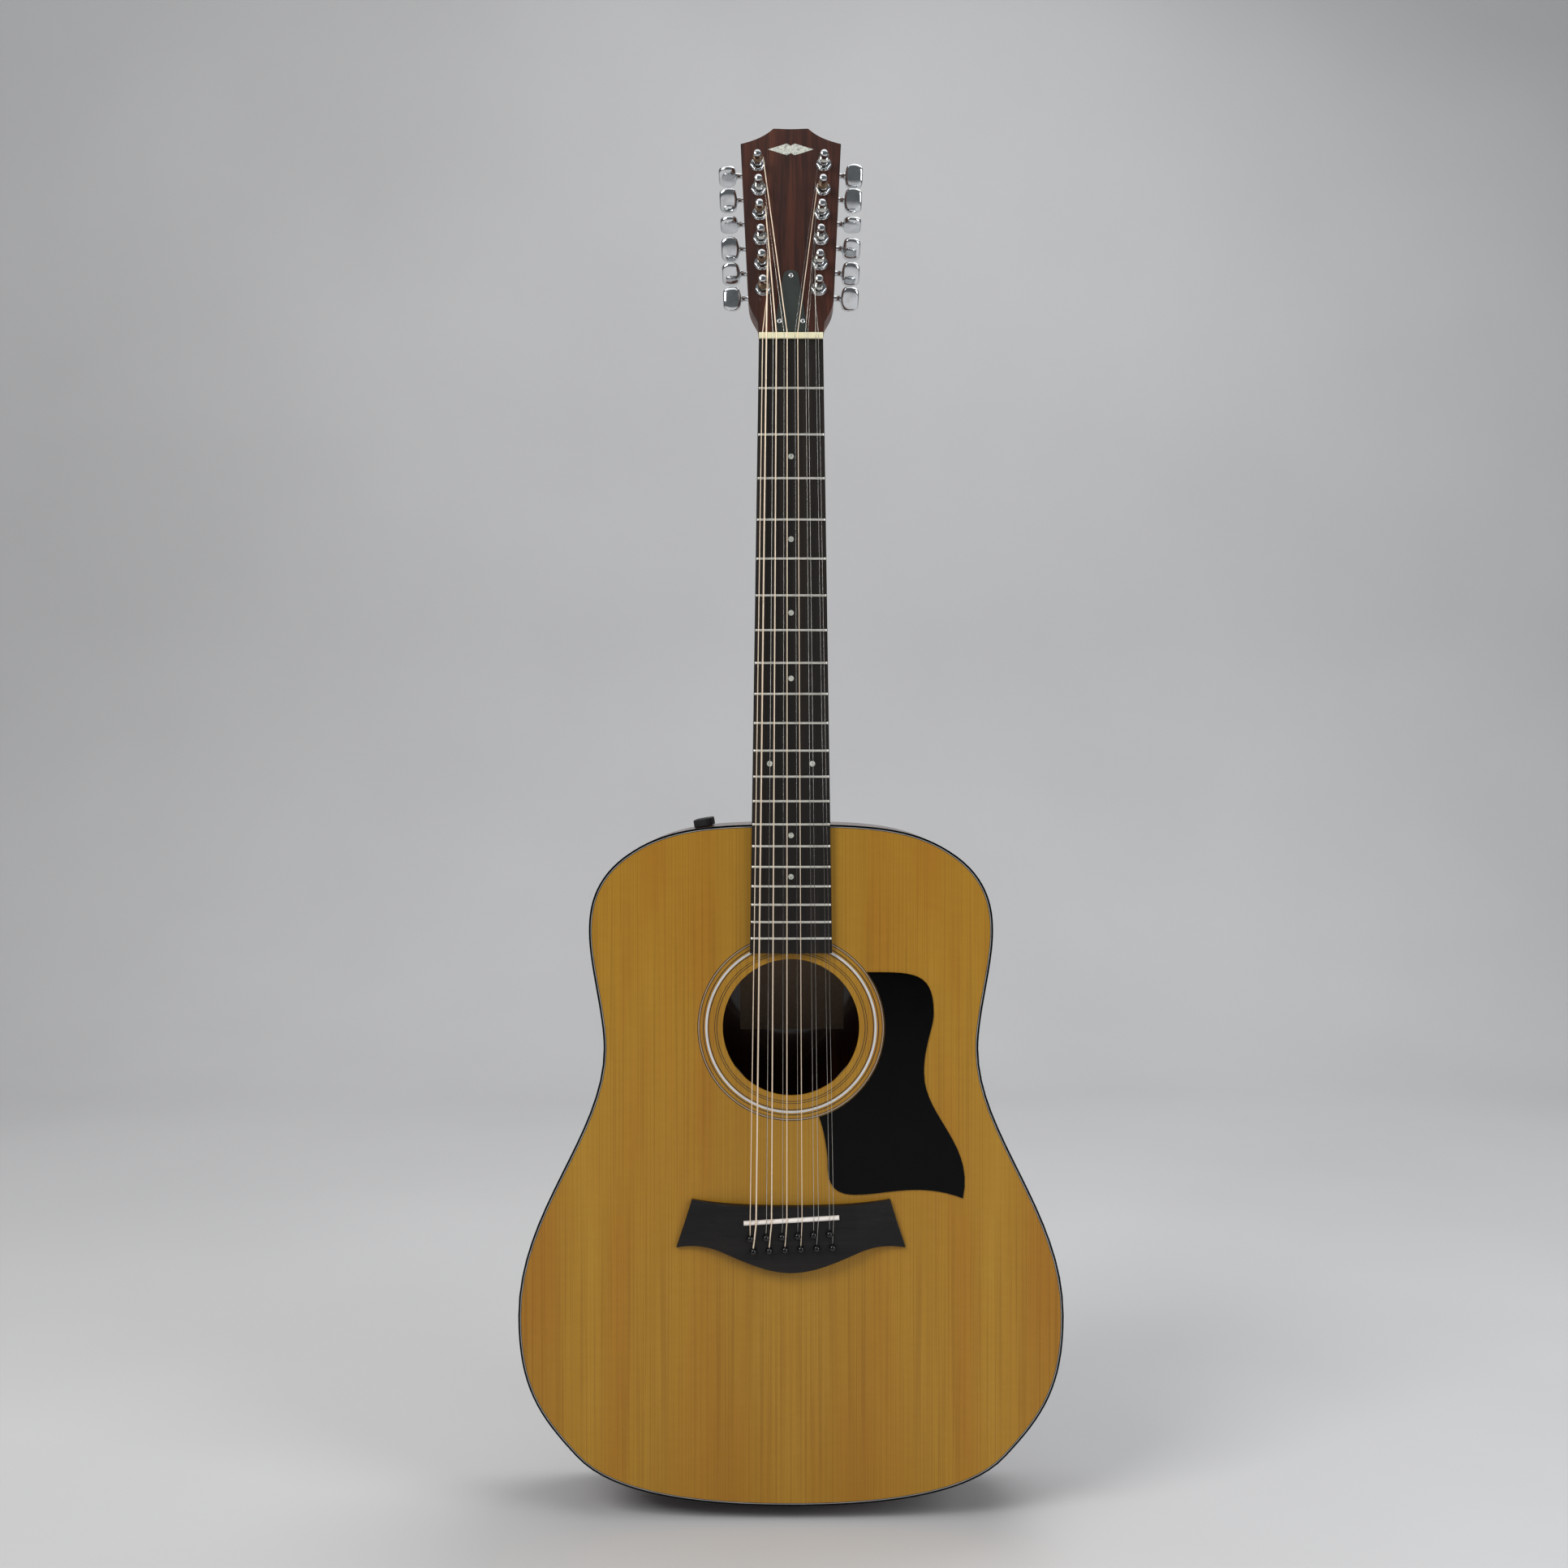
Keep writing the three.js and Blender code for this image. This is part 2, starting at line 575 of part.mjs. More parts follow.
// The button, its shaft and the worm, on its own axis along X.
function tunerKnob(side) {
  const { start, edge, root } = BUTTON;
  const shaft = solidOf(alongX(turnedGeometry([
    [0, -WORM.reach],
    [WORM.radius, -WORM.reach],
    [WORM.radius, KNOB_COLLAR.start],
    [KNOB_COLLAR.radius, KNOB_COLLAR.start],
    [KNOB_COLLAR.radius, start + 1],
    [0, start + 1],
  ])));
  const half = BUTTON.width / 2;
  const end = start + BUTTON.length;
  const widest = start + BUTTON.length / 2;
  const paddle = new THREE.Shape()
    .moveTo(start, -root)
    .bezierCurveTo(start + 3, -half * 0.7, start + 3, -half, widest, -half)
    .bezierCurveTo(end - 1, -half, end, -half * 0.5, end, 0)
    .bezierCurveTo(end, half * 0.5, end - 1, half, widest, half)
    .bezierCurveTo(start + 3, half, start + 3, half * 0.7, start, root);
  const button = new THREE.ExtrudeGeometry(paddle, {
    depth: BUTTON.thickness - 2 * edge,
    bevelThickness: edge,
    bevelSize: edge,
    bevelOffset: -edge,
    bevelSegments: 1,
    curveSegments: 3,
  }).rotateX(Math.PI / 2).translate(0, BUTTON.thickness / 2 - edge, 0);
  const whole = shaft.add(solidOf(button));
  return side > 0 ? whole : solidOf(geometryOf(whole).rotateY(Math.PI));
}

// One gear housing with its mounting ears, threaded bushing and face nut.
function tunerHousing(side, i) {
  const place = (geometry) => solidOf(geometry.applyMatrix4(tunerMatrix(side, i)));
  const xs = ([inner, outer]) => [side * inner, side * outer].sort((a, b) => a - b);
  const { outer, inner, earHalfWidth } = HOUSING;
  const back = HEAD_WOOD + SLIP;
  const floor = back + HOUSING.floor;
  const face = -OVERLAY_FACE - SLIP;
  const earReach = POST_PITCH / 2 + GLUE;
  const solid = join([
    place(blockGeometry(xs(outer.x), [back, outer.rear], outer.z)),
    place(blockGeometry([-earHalfWidth, earHalfWidth], [back, floor], [-earReach, earReach])),
    place(rod(POST_HOLE_RADIUS - 2 * SLIP, face - 1, back + 0.5)),
    place(rod(FACE_NUT.radius, face - FACE_NUT.thickness, face, 12)),
  ]);
  const shaftBore = alongX(rod(WORM.radius + 0.4, 0, outer.x[1] + 3)).rotateY(side > 0 ? 0 : Math.PI);
  return cut(solid, [
    place(rod(POST.bore, face - 10, floor + 4)),
    place(blockGeometry(xs(inner.x), [floor, inner.rear], inner.z)),
    place(shaftBore.translate(0, WORM.y, WORM.z)),
  ]);
}

function addHeadstock() {
  const head = new THREE.Group();
  head.applyMatrix4(headMatrix());
  model.add(head);
  addPiece('headstock_overlay', overlay(), ROSEWOOD, head);
  addPiece('truss_rod_cover', trussRodCover(), BLACK_PLASTIC, head);

  for (const [side, name] of [[-1, 'bass'], [1, 'treble']]) {
    const housings = Array.from({ length: COURSES }, (_, i) => tunerHousing(side, i));
    addPiece(`tuner_housings_${name}`, join(housings), CHROME, head);
  }
  eachTuner((side, i) => {
    const tuner = new THREE.Group();
    tuner.applyMatrix4(tunerMatrix(side, i));
    head.add(tuner);
    const row = side < 0 ? 'bass' : 'treble';
    const label = `${row}_${i + 1}`;
    addPiece(`tuner_post_${label}`, tunerPost(), CHROME, tuner);
    const knob = addPiece(`tuner_knob_${label}`, tunerKnob(side), CHROME, tuner);
    knob.position.set(0, WORM.y, WORM.z);
    knob.rotation.x = THREE.MathUtils.degToRad(BUTTON_TURNS[row][i]);
  });
}

// ---------------------------------------------------------------- bridge, saddle and pickguard

const saddleZ = (x) => onLine(SADDLE.bass, SADDLE.treble, x);

// A bar along the saddle's slanting line, wider or longer than the saddle by a clearance.
function saddleBar(y0, y1, clearance) {
  const [x0, z0] = SADDLE.bass;
  const [x1, z1] = SADDLE.treble;
  const length = Math.hypot(x1 - x0, z1 - z0) + 2 * clearance;
  const width = SADDLE.thickness + 2 * clearance;
  return new THREE.BoxGeometry(length, y1 - y0, width, 1, 2, 1)
    .translate(0, (y0 + y1) / 2, 0)
    .rotateY(-Math.atan2(z1 - z0, x1 - x0))
    .translate((x0 + x1) / 2, 0, (z0 + z1) / 2);
}

function saddle() {
  const y0 = -SADDLE.crest;
  const bar = saddleBar(y0, -BRIDGE_HEIGHT + SADDLE.slotDepth - SLIP, 0);
  const shoulderY = y0 + 1.2;
  return solidOf(warp(bar, (v) => {
    if (v.y === y0) v.z = between(saddleZ(v.x), v.z, 0.35);
    else if (v.y < -SADDLE.slotDepth) v.y = shoulderY;
  }));
}

function bridge() {
  const half = bezierPoints([
    [[0, 224.8], [30, 224.8], [55, 226.2], [73.7, 229.4]],
    [[73.7, 229.4], [76.9, 218.2], [80.9, 206.6], [85.2, 193.7]],
    [[85.2, 193.7], [77, 195.1], [66, 196.1], [53, 191.6]],
    [[53, 191.6], [42, 187.9], [21, 175.7], [0, 175.7]],
  ], 5);
  const top = -BRIDGE_HEIGHT - GLUE;
  const slab = plate(mirrored(half), top, -GLUE);
  const { start, end, height } = BRIDGE_WING;
  const profile = [[-end, 1], [-end, -height], [-start, top], [start, top], [end, -height], [end, 1]];
  const shape = new THREE.Shape(profile.map(([x, y]) => new THREE.Vector2(x, y)));
  const slope = new THREE.ExtrudeGeometry(shape, { depth: BODY_LENGTH / 2, bevelEnabled: false });
  const slot = solidOf(saddleBar(2 * top, -BRIDGE_HEIGHT + SADDLE.slotDepth, SLIP));
  return slab.intersect(solidOf(slope)).subtract(slot);
}

function pickguard() {
  const ring = SOUNDHOLE.radius + PICKGUARD.ringGap;
  const [ringTop, ringBottom] = [[56.3, 398], [20.8, 290.2]];
  const edge = bezierPoints([
    [ringTop, [92.3, 398.2], [106.2, 398.5], [106.2, 367.5]],
    [[106.2, 367.5], [106.2, 356], [99, 344], [99, 323]],
    [[99, 323], [99, 290], [137, 271], [128, 229.6]],
    [[128, 229.6], [96, 242], [72, 232.3], [48, 232.3]],
    [[48, 232.3], [31.3, 232.3], [27.2, 240], [27.2, 256.3]],
    [[27.2, 256.3], [27.2, 264], [24.5, 281], ringBottom],
  ], 5);
  const [start, stop] = [ringBottom, ringTop].map(([x, z]) => Math.atan2(z - SOUNDHOLE.z, x));
  for (let i = 1; i < PICKGUARD.arcSteps; i += 1) {
    const angle = between(start, stop, i / PICKGUARD.arcSteps);
    edge.push(new THREE.Vector2(ring * Math.cos(angle), SOUNDHOLE.z + ring * Math.sin(angle)));
  }
  return plate(edge, -PICKGUARD.face, -GLUE);
}

// ---------------------------------------------------------------- strings

// A wire that turns sharply at each of its points.
class BentWire extends THREE.Curve {
  constructor(points) {
    super();
    this.points = points;
  }

  getPoint(t, target = new THREE.Vector3()) {
    const last = this.points.length - 1;
    const i = Math.min(Math.floor(t * last), last - 1);
    return target.lerpVectors(this.points[i], this.points[i + 1], t * last - i);
  }

  getPointAt(u, target) {
    return this.getPoint(u, target);
  }

  getTangentAt(u, target) {
    return this.getTangent(u, target);
  }
}

// Where string number k leaves the bridge: odd strings of a pair use the front row of pins.
function pinPoint(k) {
  const row = k % 2 ? PIN_ROW_REAR : PIN_ROW_FRONT;
  const t = Math.floor(k / 2) / (COURSES - 1);
  return [between(row.bass[0], row.treble[0], t), between(row.bass[1], row.treble[1], t)];
}

// Where string number k meets its windings: the outer strings go to the posts nearest the nut, and
// neighbours reach their posts at different heights, so each one clears the post and string beside it.
function postPoint(k, radius) {
  const side = k < COURSES ? -1 : 1;
  const i = side < 0 ? k : STRINGS.length - 1 - k;
  const inner = -side * (GROOVE.radius + WINDING.thickness + radius);
  return new THREE.Vector3(inner, -WINDING.heights[i % 2], 0)
    .applyMatrix4(tunerMatrix(side, i))
    .applyMatrix4(headMatrix());
}

function stringWire(k) {
  const [, nutX, bridgeX, diameter] = STRINGS[k];
  const radius = diameter / 2;
  const [pinX, pinZ] = pinPoint(k);
  const crestY = -SADDLE.crest - radius - STRING_LIFT;
  const nutY = -NUT.slotFloor - radius - STRING_LIFT;
  const crestZ = saddleZ(bridgeX);
  const path = new BentWire([
    new THREE.Vector3(pinX, -BRIDGE_HEIGHT - radius - 2 * SLIP, pinZ + 2.6),
    new THREE.Vector3(bridgeX, crestY, crestZ - 0.6),
    new THREE.Vector3(bridgeX, crestY, crestZ + 0.6),
    new THREE.Vector3(nutX, nutY, NUT_Z),
    new THREE.Vector3(nutX, nutY, NUT_Z + NUT.length + SLIP),
    postPoint(k, radius),
  ]);
  return solidOf(new THREE.ExtrudeGeometry(new THREE.Shape(circlePoints(radius, 8)), {
    extrudePath: path,
    steps: path.points.length - 1,
  }));
}

// ---------------------------------------------------------------- assembly

addPiece('soundboard', soundboard(), SPRUCE);
addPiece('back_plate', backPlate(), MAHOGANY);
addPiece('sides', sides(), MAHOGANY);
addPiece('binding_front', binding(0, BINDING_DEPTH), BLACK_BINDING);
addPiece('binding_back', binding(-BINDING_DEPTH, -HAIR), BLACK_BINDING);
addPiece('neck_block', endBlock(NECK_BLOCK), RAW_MAHOGANY);
addPiece('tail_block', endBlock(TAIL_BLOCK).subtract(endpinBore(ENDPIN.hole, 0, 30)), RAW_MAHOGANY);
addPiece('top_bracing', topBracing(), RAW_SPRUCE);
addPiece('endpin_jack', endpinJack(), CHROME);
addControls();
addPiece('neck', neck(), MAHOGANY);
addPiece('truss_rod', block(TRUSS_ROD.x, TRUSS_ROD.y, TRUSS_ROD.z), STEEL);
addPiece('fretboard', fretboard(), EBONY);
addPiece('nut', nut(), BONE);
addHeadstock();
addPiece('bridge', bridge(), EBONY);
addPiece('saddle', saddle(), BONE);
addPiece('pickguard', pickguard(), BLACK_PLASTIC);
STRINGS.forEach(([name, , , diameter], k) => {
  addPiece(name, stringWire(k), diameter > 0.5 ? BRONZE : STEEL);
});

model.updateMatrixWorld(true);
const bounds = new THREE.Box3().setFromObject(model, true);
const middle = bounds.getCenter(new THREE.Vector3());
model.position.set(-middle.x, -middle.y, -bounds.min.z);
model.updateMatrixWorld(true);

export default model;
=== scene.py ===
"""Looks of a twelve-string dreadnought guitar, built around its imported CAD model.

Pieces are modelled in millimetres in a local frame and then moved into the row frame, in metres.
BODY has y = 0 on the soundboard's face and z = 0 at the tail. HEAD is tilted with the headstock, its z
running up the head's face from the nut. Each tuner and each control knob has a frame of its own.
"""

import json
from math import atan2, copysign, cos, pi, radians, sin

import bmesh
import bpy
from mathutils import Matrix, Vector
from mathutils.geometry import interpolate_bezier, tessellate_polygon


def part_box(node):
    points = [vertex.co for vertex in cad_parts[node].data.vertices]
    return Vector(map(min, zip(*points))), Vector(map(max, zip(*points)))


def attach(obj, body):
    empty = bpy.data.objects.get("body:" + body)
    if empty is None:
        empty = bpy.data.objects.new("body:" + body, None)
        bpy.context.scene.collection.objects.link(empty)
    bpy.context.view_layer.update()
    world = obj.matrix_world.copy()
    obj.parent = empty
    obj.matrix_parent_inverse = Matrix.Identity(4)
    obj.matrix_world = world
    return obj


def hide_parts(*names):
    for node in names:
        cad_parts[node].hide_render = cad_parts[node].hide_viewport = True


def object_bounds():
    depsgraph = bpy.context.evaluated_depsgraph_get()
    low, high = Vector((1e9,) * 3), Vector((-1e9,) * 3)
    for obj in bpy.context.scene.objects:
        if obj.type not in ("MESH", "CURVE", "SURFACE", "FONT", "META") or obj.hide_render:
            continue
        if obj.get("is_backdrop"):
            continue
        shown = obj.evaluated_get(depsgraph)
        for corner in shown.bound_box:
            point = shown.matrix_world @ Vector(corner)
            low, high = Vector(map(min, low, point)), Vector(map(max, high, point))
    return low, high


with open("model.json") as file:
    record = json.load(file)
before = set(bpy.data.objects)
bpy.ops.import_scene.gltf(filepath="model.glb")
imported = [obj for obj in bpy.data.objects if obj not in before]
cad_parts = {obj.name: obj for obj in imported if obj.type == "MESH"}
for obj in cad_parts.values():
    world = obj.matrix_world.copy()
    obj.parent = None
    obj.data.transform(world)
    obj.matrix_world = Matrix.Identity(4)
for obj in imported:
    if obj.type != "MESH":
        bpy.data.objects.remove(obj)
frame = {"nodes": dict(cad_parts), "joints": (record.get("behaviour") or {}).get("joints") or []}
CAD_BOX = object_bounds()

# ---- driving dimensions, millimetres

MM = 0.001
WELD = 2e-6                      # metres: vertices closer than this are one
SCALE_LENGTH = 647.7
FRET_COUNT = 20
BODY_LENGTH = 508
BODY_DEPTH = 117.4               # of the looks: the CAD's flat facets stop just short of the dome
DOME_RADIUS = 2005
DOME_Z = 215
BODY_MIDDLE_Z = 230
NUT_Z = 867.2
HEAD_ANGLE = radians(16)
COURSES = 6

# Right half of the body outline, (x, z), from the neck joint to the tail: a chain of Bezier curves.
BODY_HALF = [
    (0, 508), (58, 508), (90, 506), (118, 488), (150, 468), (150.5, 441), (150.5, 427.5),
    (150.5, 403), (139.5, 367), (139.5, 341), (139.5, 277), (203.2, 220), (203.2, 142),
    (203.2, 89), (188, 67), (160, 37), (132, 6), (61, 0), (0, 0),
]

BINDING = {"width": 1.45, "depth": 6.0, "round": 0.35}
PURFLING = [("grey", 1.45, 1.9), ("black", 1.9, 2.3)]
TOP_EDGE = 2.3                   # the soundboard starts this far in from the outline
SIDE_THICKNESS = 2.6
PLATE_THICKNESS = 3
SOUNDHOLE = {"z": 356.8, "radius": 50.8}
ROSETTE = [                      # inlaid rings: inner radius, outer radius, tone
    (54.9, 55.4, "black"), (56.5, 56.95, "black"), (61.1, 61.7, "black"), (62.2, 63.8, "white"),
    (64.9, 65.5, "black"), (67.7, 68.15, "black"), (68.5, 68.9, "grey"), (69.15, 69.65, "black"),
]

BOARD_END_Z = 412.5
BOARD_THICKNESS = 6.5
BOARD_CAMBER_RADIUS = 381
NUT_HALF_WIDTH = 23.8
BOARD_END_HALF_WIDTH = 30.5
FRET = {"half_width": 0.95, "height": 1.1, "inset": 0.35}
DOT_FRETS = [3, 5, 7, 9, 12, 15, 17]
DOUBLE_DOT = {"fret": 12, "x": 15.8}
DOT_RADIUS = 2.1
NUT = {"length": 4.5, "top": 8.6, "floor": 8.0, "foot": 1.2}
NECK_START = 508.1               # the heel stands off the body by a glue line
HEEL = {"start": 585, "full": 526, "growth": 75, "power": 3, "depth": 86.4, "taper": 0.4, "span": 88}
HEEL_CAP = (86.45, 88.0)

HEAD_WOOD = 14
HEAD_SHOULDER = (38.6, 168.3)    # where the head's side meets its top edge, (x, height up the head)
NECK_TO_HEAD = 36                # this far past the nut, the neck's section has become the head's
OVERLAY_FACE = -2.3
COVER_FACE = -4.2
POST_S = (42.7, 21.5)            # first post and pitch up the head
POST_X = (20.9, 25.3)
EDGE_ANGLE = radians(2.65)
POST_HOLE = 4.8
POST_RADIUS = 3
GROOVE = {"y": -9.5, "radius": 2.5, "half": 2.6, "shoulder": 3.6}
WINDING = {"radius": 3.72, "heights": (8.2, 10.8)}
WHEEL = {"radius": 3.5, "start": 16.4, "end": 22.6, "teeth": 14}
WORM = {"y": 19.5, "z": 5.3, "reach": 4.5, "radius": 1.6}
BUTTON_START = 16.5
BUTTON_LENGTH = 14
# How far each button is turned face down at rest, in degrees, from the nut up the head.
BUTTON_TURNS = {-1: (10, 58, 38, 87, 44, 75), 1: (47, 50, 61, 90, 31, 27)}

BRIDGE_TOP = -8.1
BRIDGE_WING = {"start": 47, "end": 90, "height": 2.9}
SADDLE = {"bass": (-35, 213.1), "treble": (35.6, 217.3), "crest": -11, "half": 1.6, "floor": -3.4}
PIN_FRONT = ((-30.2, 201.4), (28.4, 204.9))
PIN_REAR = ((-27.9, 192.1), (30.7, 194.9))
STRING_LIFT = 0.08
PICKGUARD = {"face": -0.9, "ring": 69.8}
ENDPIN_Y = 52
CONTROLS = ("volume_knob", "treble_knob", "bass_knob")

# Each string: name, x at the nut, x at the saddle, diameter, finish.
STRINGS = [
    ("low_e_octave", -21.0, -30.2, 0.69, "bronze"),
    ("low_e", -18.2, -25.8, 1.19, "bronze"),
    ("a_octave", -13.3, -18.1, 0.46, "plain"),
    ("a", -10.9, -14.4, 0.99, "bronze"),
    ("d_octave", -5.2, -6.2, 0.31, "plain"),
    ("d", -2.9, -3.1, 0.76, "bronze"),
    ("g_octave", 2.9, 5.1, 0.25, "plain"),
    ("g", 4.9, 8.1, 0.58, "bronze"),
    ("b_first", 10.7, 16.8, 0.36, "plain"),
    ("b_second", 12.5, 20.2, 0.36, "plain"),
    ("high_e_first", 18.2, 28.4, 0.28, "plain"),
    ("high_e_second", 20.2, 31.4, 0.28, "plain"),
]

FACE_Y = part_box("soundboard")[0].y
TAIL_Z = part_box("binding_front")[0].z
BODY = Matrix.Translation((0, FACE_Y, TAIL_Z)) @ Matrix.Scale(MM, 4)
HEAD = BODY @ Matrix.Translation((0, 0, NUT_Z)) @ Matrix.Rotation(-HEAD_ANGLE, 4, "X")
JOINTS = {joint["name"]: joint for joint in frame["joints"]}


# ---- materials

class Look:
    """A material: a Principled shader, and short calls that add texture nodes to it."""

    def __init__(self, name, slot, **sockets):
        self.slot = slot
        self.material = bpy.data.materials.new(name)
        self.material.use_nodes = True
        self.nodes = self.material.node_tree.nodes
        self.links = self.material.node_tree.links
        self.shader = self.nodes["Principled BSDF"]
        for socket, value in sockets.items():
            self.shader.inputs[socket.replace("_", " ").title().replace("Ior", "IOR")].default_value = value

    def node(self, kind, inputs=(), **settings):
        made = self.nodes.new("ShaderNode" + kind)
        for key, value in settings.items():
            setattr(made, key, value)
        for socket, value in dict(inputs).items():
            if isinstance(value, bpy.types.NodeSocket):
                self.links.new(value, made.inputs[socket])
            else:
                made.inputs[socket].default_value = value
        return made

    def noise(self, stretch, detail=3, roughness=0.5, distortion=0, mirrored=False):
        """Noise over the piece's own coordinates in metres, stretched by a scale for each axis."""
        inputs = {"Vector": self.place(stretch, mirrored), "Scale": 1, "Detail": detail,
                  "Roughness": roughness, "Distortion": distortion}
        return self.node("TexNoise", inputs).outputs["Fac"]

    def place(self, stretch, mirrored=False):
        """Where the texture is read. mirrored makes both halves of the guitar alike."""
        coordinates = self.node("TexCoord").outputs["Object"]
        if mirrored:
            coordinates = self.node("VectorMath", {0: coordinates}, operation="ABSOLUTE").outputs[0]
        return self.node("Mapping", {"Vector": coordinates, "Scale": stretch}).outputs[0]

    def ramp(self, value, *stops):
        made = self.node("ValToRGB", {"Fac": value})
        ramp = made.color_ramp
        while len(ramp.elements) < len(stops):
            ramp.elements.new(1)
        for element, (position, colour) in zip(ramp.elements, stops):
            element.position = position
            element.color = rgba(colour)
        return made.outputs["Color"]

    def blend(self, factor, first, second, mode="MIX"):
        inputs = {0: factor, 6: first, 7: rgba(second) if isinstance(second, str) else second}
        return self.node("Mix", inputs, data_type="RGBA", blend_type=mode).outputs[2]

    def darken(self, colour, share, value, *stops):
        """The colour times a ramp over a texture's value, as far as share says."""
        return self.blend(share, colour, self.ramp(value, *stops), "MULTIPLY")

    def between(self, value, low, high):
        inputs = {"Value": value, "To Min": low, "To Max": high}
        return self.node("MapRange", inputs).outputs["Result"]

    def surface(self, colour, texture, low, high):
        """Sets the colour, and a roughness from low to high over a texture."""
        self.links.new(colour, self.shader.inputs["Base Color"])
        self.links.new(self.between(texture, low, high), self.shader.inputs["Roughness"])

    def bump(self, height, strength, distance):
        inputs = {"Height": height, "Strength": strength, "Distance": distance}
        normal = self.node("Bump", inputs).outputs["Normal"]
        self.links.new(normal, self.shader.inputs["Normal"])


def rgba(colour):
    """A hex sRGB colour as the linear values that sockets hold."""
    channels = [int(colour[i:i + 2], 16) / 255 for i in (1, 3, 5)]
    return (*[c / 12.92 if c <= 0.04045 else ((c + 0.055) / 1.055) ** 2.4 for c in channels], 1)


def wood(name, slot, colours, fine, broad, gloss, pores=0.4, mirrored=False, bands=None):
    """Straight-grained wood. fine and broad are the grain's scales along x, y and z; gloss is
    (roughness, coat weight). colours run from the dark to the light of the grain."""
    look = Look(name, slot, roughness=gloss[0], coat_weight=gloss[1], coat_roughness=0.06,
                specular_ior_level=0.3)
    dark, middle, light = colours
    drift = look.noise(broad, 4, 0.55, 0.6, mirrored)
    base = look.ramp(drift, (0.28, dark), (0.5, middle), (0.74, light))
    lines = look.noise(fine, 5, 0.65, 0.15, mirrored)
    colour = look.darken(base, pores, lines, (0.36, "#8c8c8c"), (0.56, "#ffffff"))
    if bands:
        wide = look.noise(bands, 2, 0.5, 0, mirrored)
        colour = look.darken(colour, 0.5, wide, (0.35, "#9d9387"), (0.62, "#ffffff"))
    look.surface(colour, lines, gloss[0] + 0.12, gloss[0] - 0.06)
    look.bump(lines, 0.12, 0.00012)
    return look


def plastic(name, slot, colour, lighter, roughness, coat=0, specular=0.5):
    look = Look(name, slot, coat_weight=coat, coat_roughness=0.05, specular_ior_level=specular)
    cloud = look.noise((60, 60, 60), 4, 0.6)
    scuffs = look.noise((900, 900, 240), 5, 0.7)
    base = look.ramp(cloud, (0.35, colour), (0.7, lighter))
    look.surface(base, scuffs, 0.75 * roughness, 1.4 * roughness)
    look.bump(scuffs, 0.06, 0.00005)
    return look


def metal(name, slot, colour, tarnish, roughness, grain=(500, 500, 500)):
    look = Look(name, slot, metallic=1)
    cloud = look.noise((90, 90, 90), 5, 0.65)
    brushing = look.noise(grain, 4, 0.6)
    base = look.ramp(cloud, (0.3, tarnish), (0.55, colour))
    look.surface(base, brushing, roughness * 0.6, roughness * 1.5)
    look.bump(brushing, 0.05, 0.00004)
    return look


def wound_wire(name, slot, colour, shade):
    """Wire with a fine winding, whose turns cross the string's length."""
    look = Look(name, slot, metallic=0.4)
    wave = look.node("TexWave", {"Vector": look.place((0, 0, 1)), "Scale": 900}, bands_direction="Z")
    turns = wave.outputs["Fac"]
    age = look.noise((40, 40, 12), 4, 0.6)
    tone = look.ramp(turns, (0, shade), (0.6, colour))
    look.surface(look.blend(look.between(age, 0, 0.35), tone, shade), age, 0.2, 0.4)
    look.bump(turns, 0.2, 0.00004)
    return look


def spruce():
    """Aged spruce under gloss lacquer: bookmatched fine grain, soft wide bands and a faint cross silk."""
    look = Look("spruce_top", "spruce_top", coat_weight=0.15, coat_roughness=0.08, specular_ior_level=0.3)
    drift = look.noise((22, 22, 3), 4, 0.5, 0.4, True)
    grain = look.noise((950, 1, 4), 3, 0.5, 0, True)
    silk = look.noise((60, 1, 160), 5, 0.7)
    bands = look.noise((11, 1, 0.8), 2, 0.5, 0, True)
    colour = look.ramp(drift, (0.3, "#a8741d"), (0.5, "#ac7e23"), (0.72, "#b3872b"))
    colour = look.darken(colour, 0.3, grain, (0.36, "#ab9675"), (0.54, "#ffffff"))
    colour = look.darken(colour, 0.1, silk, (0.4, "#d9cbb0"), (0.6, "#fffdf6"))
    colour = look.darken(colour, 0.22, bands, (0.38, "#cdbda6"), (0.6, "#ffffff"))
    look.surface(colour, grain, 0.5, 0.38)
    look.bump(grain, 0.08, 0.00006)
    return look


def pearl():
    look = Look("pearl_inlay", "inlay", coat_weight=0.5, coat_roughness=0.05)
    sheen = look.noise((420, 420, 420), 3, 0.5, 1.5)
    look.surface(look.ramp(sheen, (0.3, "#8b9089"), (0.5, "#c2c5bb"), (0.7, "#dddccf")), sheen, 0.18, 0.4)
    return look


def paper():
    look = Look("label_paper", "label_paper")
    fibre = look.noise((500, 500, 500), 5, 0.7)
    stain = look.between(look.noise((30, 30, 30), 3, 0.6), 0, 0.5)
    tone = look.ramp(fibre, (0.3, "#9b8570"), (0.7, "#b09a84"))
    look.surface(look.blend(stain, tone, "#806a56"), fibre, 0.75, 0.95)
    look.bump(fibre, 0.2, 0.00008)
    return look


def backdrop():
    look = Look("backdrop", None)
    cloud = look.noise((1.4, 1.4, 1.4))
    look.surface(look.ramp(cloud, (0.3, "#c5c5c6"), (0.7, "#cccccd")), cloud, 0.85, 0.95)
    return look


